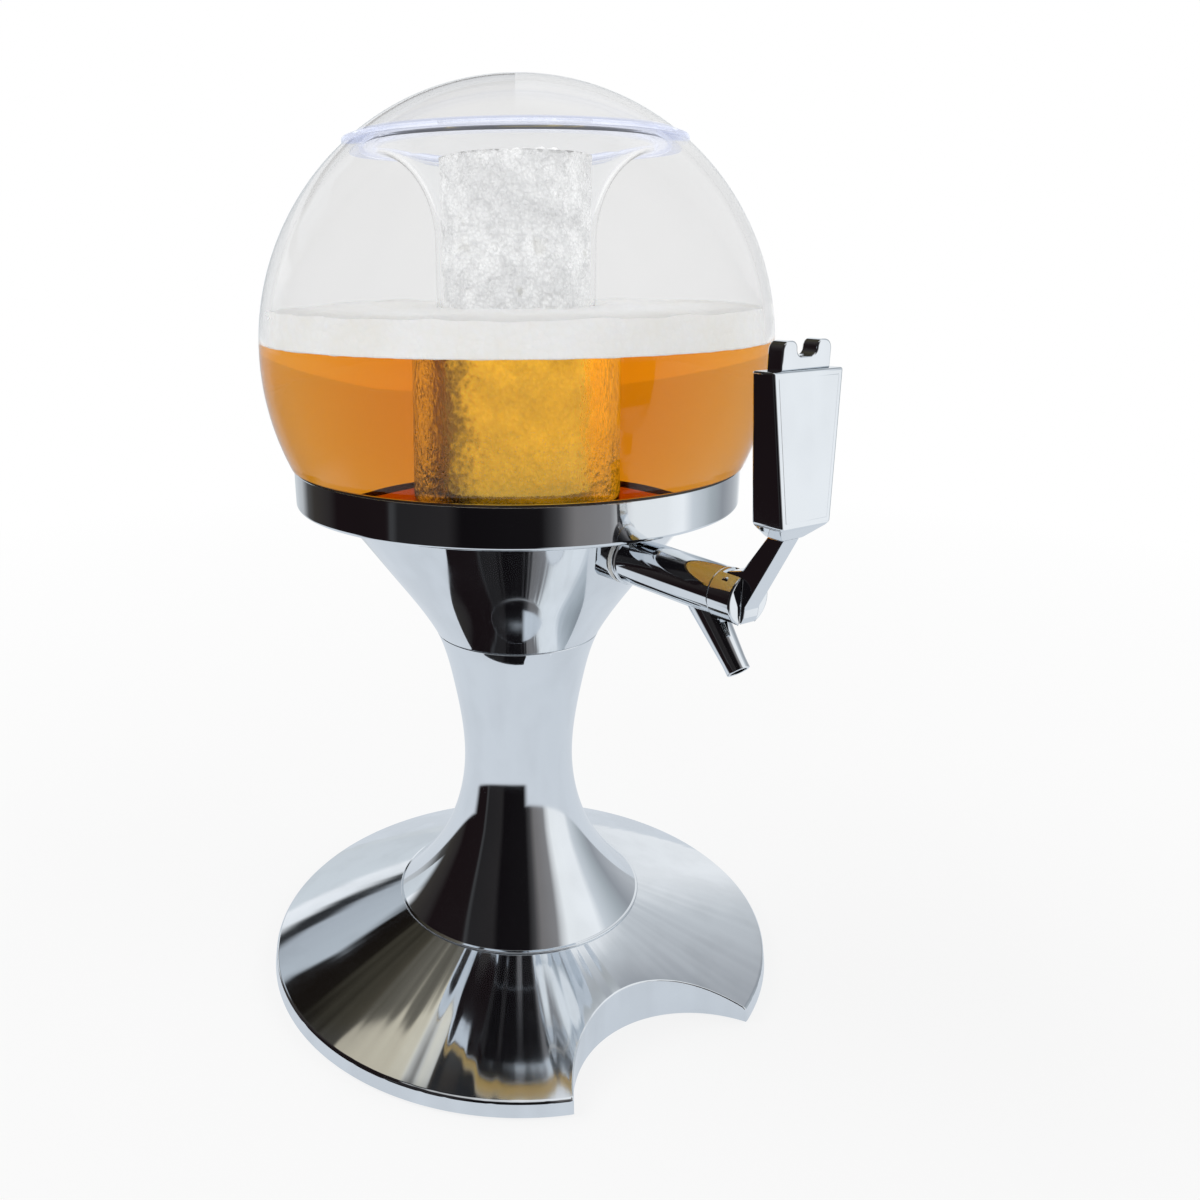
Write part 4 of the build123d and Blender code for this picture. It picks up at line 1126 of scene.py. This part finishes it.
def block(name, levels):
    """A block through levels given as (z, back, front, half width), built up from a plane."""
    pick()
    bpy.ops.mesh.primitive_plane_add(size=1.0, location=(0, 0, 0))
    name_piece(bpy.context.object, name)
    edit()
    last = None
    for z, back, front, half in levels:
        middle = Vector(((back + front) / 2, 0, z)) * MM
        size = ((front - back) * MM, 2 * half * MM)
        if last is None:
            bpy.ops.transform.resize(value=(size[0], size[1], 1.0))
            bpy.ops.transform.translate(value=middle)
        else:
            extrude(middle - last[0])
            grow = (size[0] / last[1][0], size[1] / last[1][1], 1.0)
            bpy.ops.transform.resize(value=grow, center_override=middle)
        last = (middle, size)
    return close_up()


class DISPENSER_OT_handle(bpy.types.Operator):
    """Model the handle: lever arm, tapered paddle, its front plate and the badge clip"""

    bl_idname = "dispenser.handle"
    bl_label = "Handle"

    def execute(self, context):
        heel_x = CAP_END_X - 0.5
        turns = [math.radians(angle) for angle in range(270, 89, -15)]
        hub = [(PIN_X + HUB_R * math.cos(angle), PIN_Z + HUB_R * math.sin(angle)) for angle in turns]
        outline = rounded([
            (heel_x, PIN_Z + 4.5, 2.0), (PADDLE_X + 0.3, ARM_TOP_Z), (PADDLE_X + 7.2, ARM_TOP_Z),
            (heel_x + 2.2, TAP_Z - 2.2, 3.0), (heel_x + 1.8, TAP_Z - 5.8, 2.0),
            (heel_x + 1.1, TAP_Z - 7.6, 1.0), (heel_x + 0.4, TAP_Z - 8.2, 0.5),
            (heel_x, TAP_Z - 7.4, 0.3), (heel_x, PIN_Z - HUB_R)] + hub)
        arm = plate("arm", outline, -ARM_WIDTH / 2, ARM_WIDTH, (0, 1, 0), (0, 0, 1), (1, 0, 0))
        soften(arm, 0.45, lambda a, b: abs(a.y - b.y) < 0.01, 3)
        dress(arm, "handle", "plated_plastic", "lever_arm")

        low, high = PADDLE_Z, PADDLE_TOP_Z
        sections = [(z, PADDLE_X, paddle_front(z), paddle_half(z)) for z in (low, high)]
        paddle = block("paddle", [(ARM_TOP_Z, PADDLE_X - 0.2, PADDLE_X + 7.6, 4.4)] + sections)
        soften(paddle, 0.8, lambda a, b: True, 4)
        dress(paddle, "handle", "plated_plastic", "handle_paddle")

        face = block("front_face", [
            (z, paddle_front(z) - 1.0, paddle_front(z) + 0.06, paddle_half(z) - PLATE_MARGIN)
            for z in (low + PLATE_MARGIN, high - PLATE_MARGIN)])
        soften(face, 0.25, lambda a, b: True, 2)
        dress(face, "handle", "plated_plate", "front_plate")

        top = high + CLIP_HEIGHT
        notch = top - NOTCH_DEPTH
        middle = (PADDLE_X + paddle_front(high)) / 2
        clip = plate("clip", rounded([
            (-CLIP_HALF, high), (-CLIP_HALF, top, 2.9), (-NOTCH_HALF, top, 2.9), (-NOTCH_HALF, notch, 3.0),
            (NOTCH_HALF, notch, 3.0), (NOTCH_HALF, top, 2.9), (CLIP_HALF, top, 2.9), (CLIP_HALF, high)]),
            middle - CLIP_DEPTH / 2, CLIP_DEPTH, (1, 0, 0), (0, 0, 1), (0, 1, 0))
        soften(clip, 0.5, lambda a, b: abs(a.x - b.x) < 0.01, 3)
        dress(clip, "handle", "plated_plastic", "badge_clip")
        return {"FINISHED"}


class DISPENSER_OT_inner_parts(bpy.types.Operator):
    """Give every part of the frame that stays its finish"""

    bl_idname = "dispenser.inner_parts"
    bl_label = "Inner parts"

    def execute(self, context):
        for name, nodes in NODE_FINISHES.items():
            for node in nodes:
                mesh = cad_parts[node].data
                mesh.materials.clear()
                mesh.materials.append(FINISHES[name])
        return {"FINISHED"}


# Studio

CAMERA_PLACE = (0.3746, -0.2477, 0.3252)
CAMERA_LOOK = (-0.8387, 0.5446, 0.0)
CAMERA_PITCH = 0.31532
CAMERA_ROLL = -0.007875
SENSOR_WIDTH = 36.0
FRAME_PIXELS = 1200
FOCAL_PIXELS = 1034.5
CENTRE_PIXEL = 509.48
WORLD_LIGHT = 0.62
THROUGH_LIGHT = 0.82
FLOOR_SHARE = 0.8

# What stands round the dispenser, by azimuth from the camera's
HORIZON = (
    (-180, (0.72, 0.76, 0.79)), (-150, (0.62, 0.66, 0.69)), (-136, (0.5, 0.52, 0.54)),
    (-127, (0.09, 0.09, 0.09)), (-119, (0.045, 0.04, 0.036)), (-104, (0.03, 0.026, 0.026)),
    (-97, (0.011, 0.007, 0.008)), (-63.5, (0.012, 0.008, 0.009)), (-62, (0.05, 0.05, 0.052)),
    (-60, (0.05, 0.05, 0.052)), (-58, (0.02, 0.019, 0.02)), (-32, (0.024, 0.022, 0.023)),
    (-26, (0.006, 0.005, 0.006)), (11, (0.008, 0.007, 0.008)), (19, (0.06, 0.058, 0.06)),
    (27, (0.2, 0.19, 0.19)), (44, (0.25, 0.245, 0.25)), (49, (0.62, 0.63, 0.64)), (56, (0.93, 0.95, 0.96)),
    (86, (0.96, 0.98, 1.0)), (93, (0.66, 0.7, 0.74)), (110, (0.43, 0.47, 0.5)), (121, (0.32, 0.34, 0.37)),
    (135, (0.45, 0.47, 0.5)), (147, (0.6, 0.63, 0.66)), (156, (0.9, 0.92, 0.94)), (180, (0.8, 0.83, 0.86)),
)

# What stands behind it on the left, by elevation
BACK_LEFT = (
    (-10, (0.62, 0.66, 0.7)), (13, (0.68, 0.73, 0.77)), (14, (0.95, 0.97, 1.0)), (18, (0.9, 0.93, 0.96)),
    (19.5, (0.02, 0.022, 0.025)), (22, (0.03, 0.032, 0.035)), (23.5, (0.44, 0.48, 0.53)),
    (34, (0.5, 0.55, 0.6)), (36, (0.008, 0.006, 0.005)), (42, (0.01, 0.008, 0.006)),
    (45, (0.04, 0.036, 0.026)), (52, (0.07, 0.062, 0.046)), (58, (0.12, 0.112, 0.092)),
    (64, (0.2, 0.185, 0.15)), (71, (0.16, 0.15, 0.13)), (73.5, (0.02, 0.024, 0.03)),
    (90, (0.018, 0.02, 0.024)),
)

# A beige wall over that, by elevation
BEIGE_WALL = (
    (50, (0.44, 0.4, 0.32)), (54, (0.48, 0.44, 0.35)), (58, (0.59, 0.54, 0.43)), (62, (0.63, 0.58, 0.46)),
    (65, (0.68, 0.64, 0.53)), (67, (0.72, 0.7, 0.62)), (70, (0.56, 0.56, 0.54)), (75, (0.5, 0.5, 0.48)),
)

# What hangs over it, by azimuth
OVERHEAD = (
    (-180, (0.14, 0.13, 0.125)), (-160, (0.03, 0.028, 0.028)), (-90, (0.015, 0.018, 0.022)),
    (-80, (0.5, 0.5, 0.5)), (40, (0.9, 0.92, 0.94)), (118, (0.8, 0.82, 0.85)), (130, (0.45, 0.48, 0.5)),
    (160, (0.34, 0.33, 0.31)), (180, (0.25, 0.22, 0.2)),
)


def surroundings(shop, azimuth, elevation):
    """Colour of the studio in a direction, as the plating reflects it."""
    raised = elevation + shop.spread(azimuth, -139, -135, 0.0, 3.8) * (1.0 - shop.step(elevation, 37, 4))
    wall_foot = shop.spread(azimuth, -131, -126, 62.5, 60.0) - shop.spread(azimuth, -126, -122.5, 0.0, 9.0)
    wall_height = shop.step(elevation - wall_foot, 0.0, 2.5) * (1.0 - shop.step(elevation, 71, 2))
    on_wall = shop.window(azimuth, -150, -112, 6) * wall_height
    right_or_front = shop.step(azimuth, -110, 6)
    above = shop.ramp(azimuth, OVERHEAD)
    around = shop.ramp(azimuth, HORIZON)
    tint = shop.blend(1.0 - shop.step(azimuth, -123, 9), around, shop.ramp(raised, BACK_LEFT))
    tint = shop.blend(shop.step(elevation, 63, 8) * right_or_front, tint, above)
    tint = shop.blend(shop.step(elevation, 74.5, 3), tint, above)
    return shop.blend(on_wall, tint, shop.ramp(elevation, BEIGE_WALL))


def ray_kind(shop, kind):
    return shop.add("ShaderNodeLightPath", output=f"Is {kind} Ray")


def mirrored_ray(shop):
    """A ray that has come off a polished surface, and not through a clear one."""
    return ray_kind(shop, "Glossy") * (1.0 - ray_kind(shop, "Transmission"))


def light_up(shop, end, wire):
    """Take a finished shader to the surface of a material or world."""
    output = shop.tree.nodes.new(end)
    shop.tree.links.new(wire.socket, output.inputs["Surface"])


def add_camera():
    bpy.ops.object.camera_add(location=CAMERA_PLACE)
    camera = bpy.context.object
    look = Vector(CAMERA_LOOK).normalized()
    ahead = look * math.cos(CAMERA_PITCH) - Vector((0, 0, 1)) * math.sin(CAMERA_PITCH)
    right = look.cross(Vector((0, 0, 1))).normalized()
    up = right.cross(ahead)
    rolled_right = right * math.cos(CAMERA_ROLL) + up * math.sin(CAMERA_ROLL)
    rolled_up = up * math.cos(CAMERA_ROLL) - right * math.sin(CAMERA_ROLL)
    camera.rotation_euler = Matrix((rolled_right, rolled_up, -ahead)).transposed().to_euler()
    camera.data.sensor_width = SENSOR_WIDTH
    camera.data.lens = FOCAL_PIXELS / FRAME_PIXELS * SENSOR_WIDTH
    camera.data.shift_x = (FRAME_PIXELS / 2 - CENTRE_PIXEL) / FRAME_PIXELS
    camera.data.clip_start = 0.01
    camera.data.dof.use_dof = False
    bpy.context.scene.camera = camera


def add_world():
    """White to the eye and through clear plastic, softer as light, and the studio in reflections."""
    world = bpy.data.worlds.new("studio")
    world.use_nodes = True
    bpy.context.scene.world = world
    shop = Shop(world.node_tree)
    azimuth, _, height = shop.heading("Generated")
    elevation = height.maths("ARCSINE", height) * math.degrees(1)
    strength = shop.spread(ray_kind(shop, "Camera"), 0.0, 1.0, WORLD_LIGHT, 1.0)
    strength = strength.or_more(ray_kind(shop, "Transmission") * THROUGH_LIGHT)
    white = shop.add("ShaderNodeBackground", {}, {"Color": colour(1, 1, 1), "Strength": strength})
    tint = surroundings(shop, azimuth, elevation)
    studio = shop.add("ShaderNodeBackground", {}, {"Color": tint, "Strength": 1.0})
    mixed = shop.add("ShaderNodeMixShader", {}, {0: mirrored_ray(shop), 1: white, 2: studio})
    light_up(shop, "ShaderNodeOutputWorld", mixed)


def add_lamp(name, place, target, size, power):
    bpy.ops.object.light_add(type="AREA", location=place)
    lamp = bpy.context.object
    lamp.name = name
    lamp.data.shape = "RECTANGLE"
    lamp.data.size = size
    lamp.data.size_y = size
    lamp.data.energy = power
    lamp.rotation_euler = (Vector(target) - Vector(place)).to_track_quat("-Z", "Y").to_euler()
    lamp.visible_glossy = False
    lamp.visible_transmission = False


def add_floor():
    """A pale floor that keeps the shadow, fades into the white and shows dark where the plating needs it."""
    pick()
    bpy.ops.mesh.primitive_plane_add(size=12.0, location=(0, 0, 0))
    floor = name_piece(bpy.context.object, "floor")
    material = bpy.data.materials.new("floor_white")
    material.use_nodes = True
    shop = Shop(material.node_tree)
    azimuth, distance, _ = shop.heading()
    grey = shop.blend(shop.grain(3.0), (0.88, 0.88, 0.88), (0.86, 0.86, 0.86))
    matt = shop.add("ShaderNodeBsdfDiffuse", {}, {"Color": grey})
    bright = shop.add("ShaderNodeEmission", {}, {"Color": colour(1, 1, 1), "Strength": 1.0})
    front = shop.window(azimuth, -85, 14, 12)
    away = shop.step(distance, 0.5, 0.1).or_more(front * shop.step(distance, 0.28, 0.02))
    tint = shop.blend(away, (0.68, 0.73, 0.79), shop.ramp(azimuth, HORIZON))
    mirrored = shop.add("ShaderNodeEmission", {}, {"Color": tint, "Strength": 1.0})
    share = shop.spread(distance, 0.25, 1.1, FLOOR_SHARE, 1.0)
    seen = ray_kind(shop, "Camera").or_more(ray_kind(shop, "Transmission"))
    mixed = shop.add("ShaderNodeMixShader", {}, {0: seen * share, 1: matt, 2: bright})
    reflected = mirrored_ray(shop) * (0.85 + away * 0.15)
    mixed = shop.add("ShaderNodeMixShader", {}, {0: reflected, 1: mixed, 2: mirrored})
    light_up(shop, "ShaderNodeOutputMaterial", mixed)
    floor.data.materials.append(material)


class DISPENSER_OT_stage(bpy.types.Operator):
    """Set up the camera, the floor, the soft light and the studio that the plating reflects"""

    bl_idname = "dispenser.stage"
    bl_label = "Stage"

    def execute(self, context):
        context.scene.view_settings.view_transform = "Standard"
        add_camera()
        add_world()
        add_floor()
        middle = (0, 0, 0.2)
        add_lamp("key", (-0.9, -0.9, 1.8), middle, 1.4, 14.0)
        add_lamp("fill", (1.2, 1.0, 1.2), middle, 1.2, 7.0)
        return {"FINISHED"}


PIECE_OPERATORS = (
    DISPENSER_OT_foot,
    DISPENSER_OT_column,
    DISPENSER_OT_neck,
    DISPENSER_OT_ring,
    DISPENSER_OT_ball,
    DISPENSER_OT_core,
    DISPENSER_OT_lid,
    DISPENSER_OT_contents,
    DISPENSER_OT_ice,
    DISPENSER_OT_tap,
    DISPENSER_OT_handle,
    DISPENSER_OT_inner_parts,
    DISPENSER_OT_stage,
)


class DISPENSER_PT_panel(bpy.types.Panel):
    """Sizes, colours and the pieces of the dispenser"""

    bl_idname = "DISPENSER_PT_panel"
    bl_label = "Draft beer dispenser"
    bl_space_type = "VIEW_3D"
    bl_region_type = "UI"
    bl_category = "Dispenser"

    def draw(self, context):
        for group in (context.scene.dispenser_sizes, context.scene.dispenser_colours):
            for key in group.__annotations__:
                self.layout.prop(group, key)
        for operator in PIECE_OPERATORS:
            self.layout.operator(operator.bl_idname)


CLASSES = (DispenserSizes, DispenserColours, DISPENSER_PT_panel) + PIECE_OPERATORS


def register():
    for item in CLASSES:
        bpy.utils.register_class(item)
    bpy.types.Scene.dispenser_sizes = bpy.props.PointerProperty(type=DispenserSizes)
    bpy.types.Scene.dispenser_colours = bpy.props.PointerProperty(type=DispenserColours)


def unregister():
    del bpy.types.Scene.dispenser_colours
    del bpy.types.Scene.dispenser_sizes
    for item in reversed(CLASSES):
        bpy.utils.unregister_class(item)


def main():
    register()
    make_finishes(bpy.context.scene.dispenser_colours)
    for operator in PIECE_OPERATORS:
        group, name = operator.bl_idname.split(".")
        getattr(getattr(bpy.ops, group), name)()


if __name__ == "__main__":
    main()
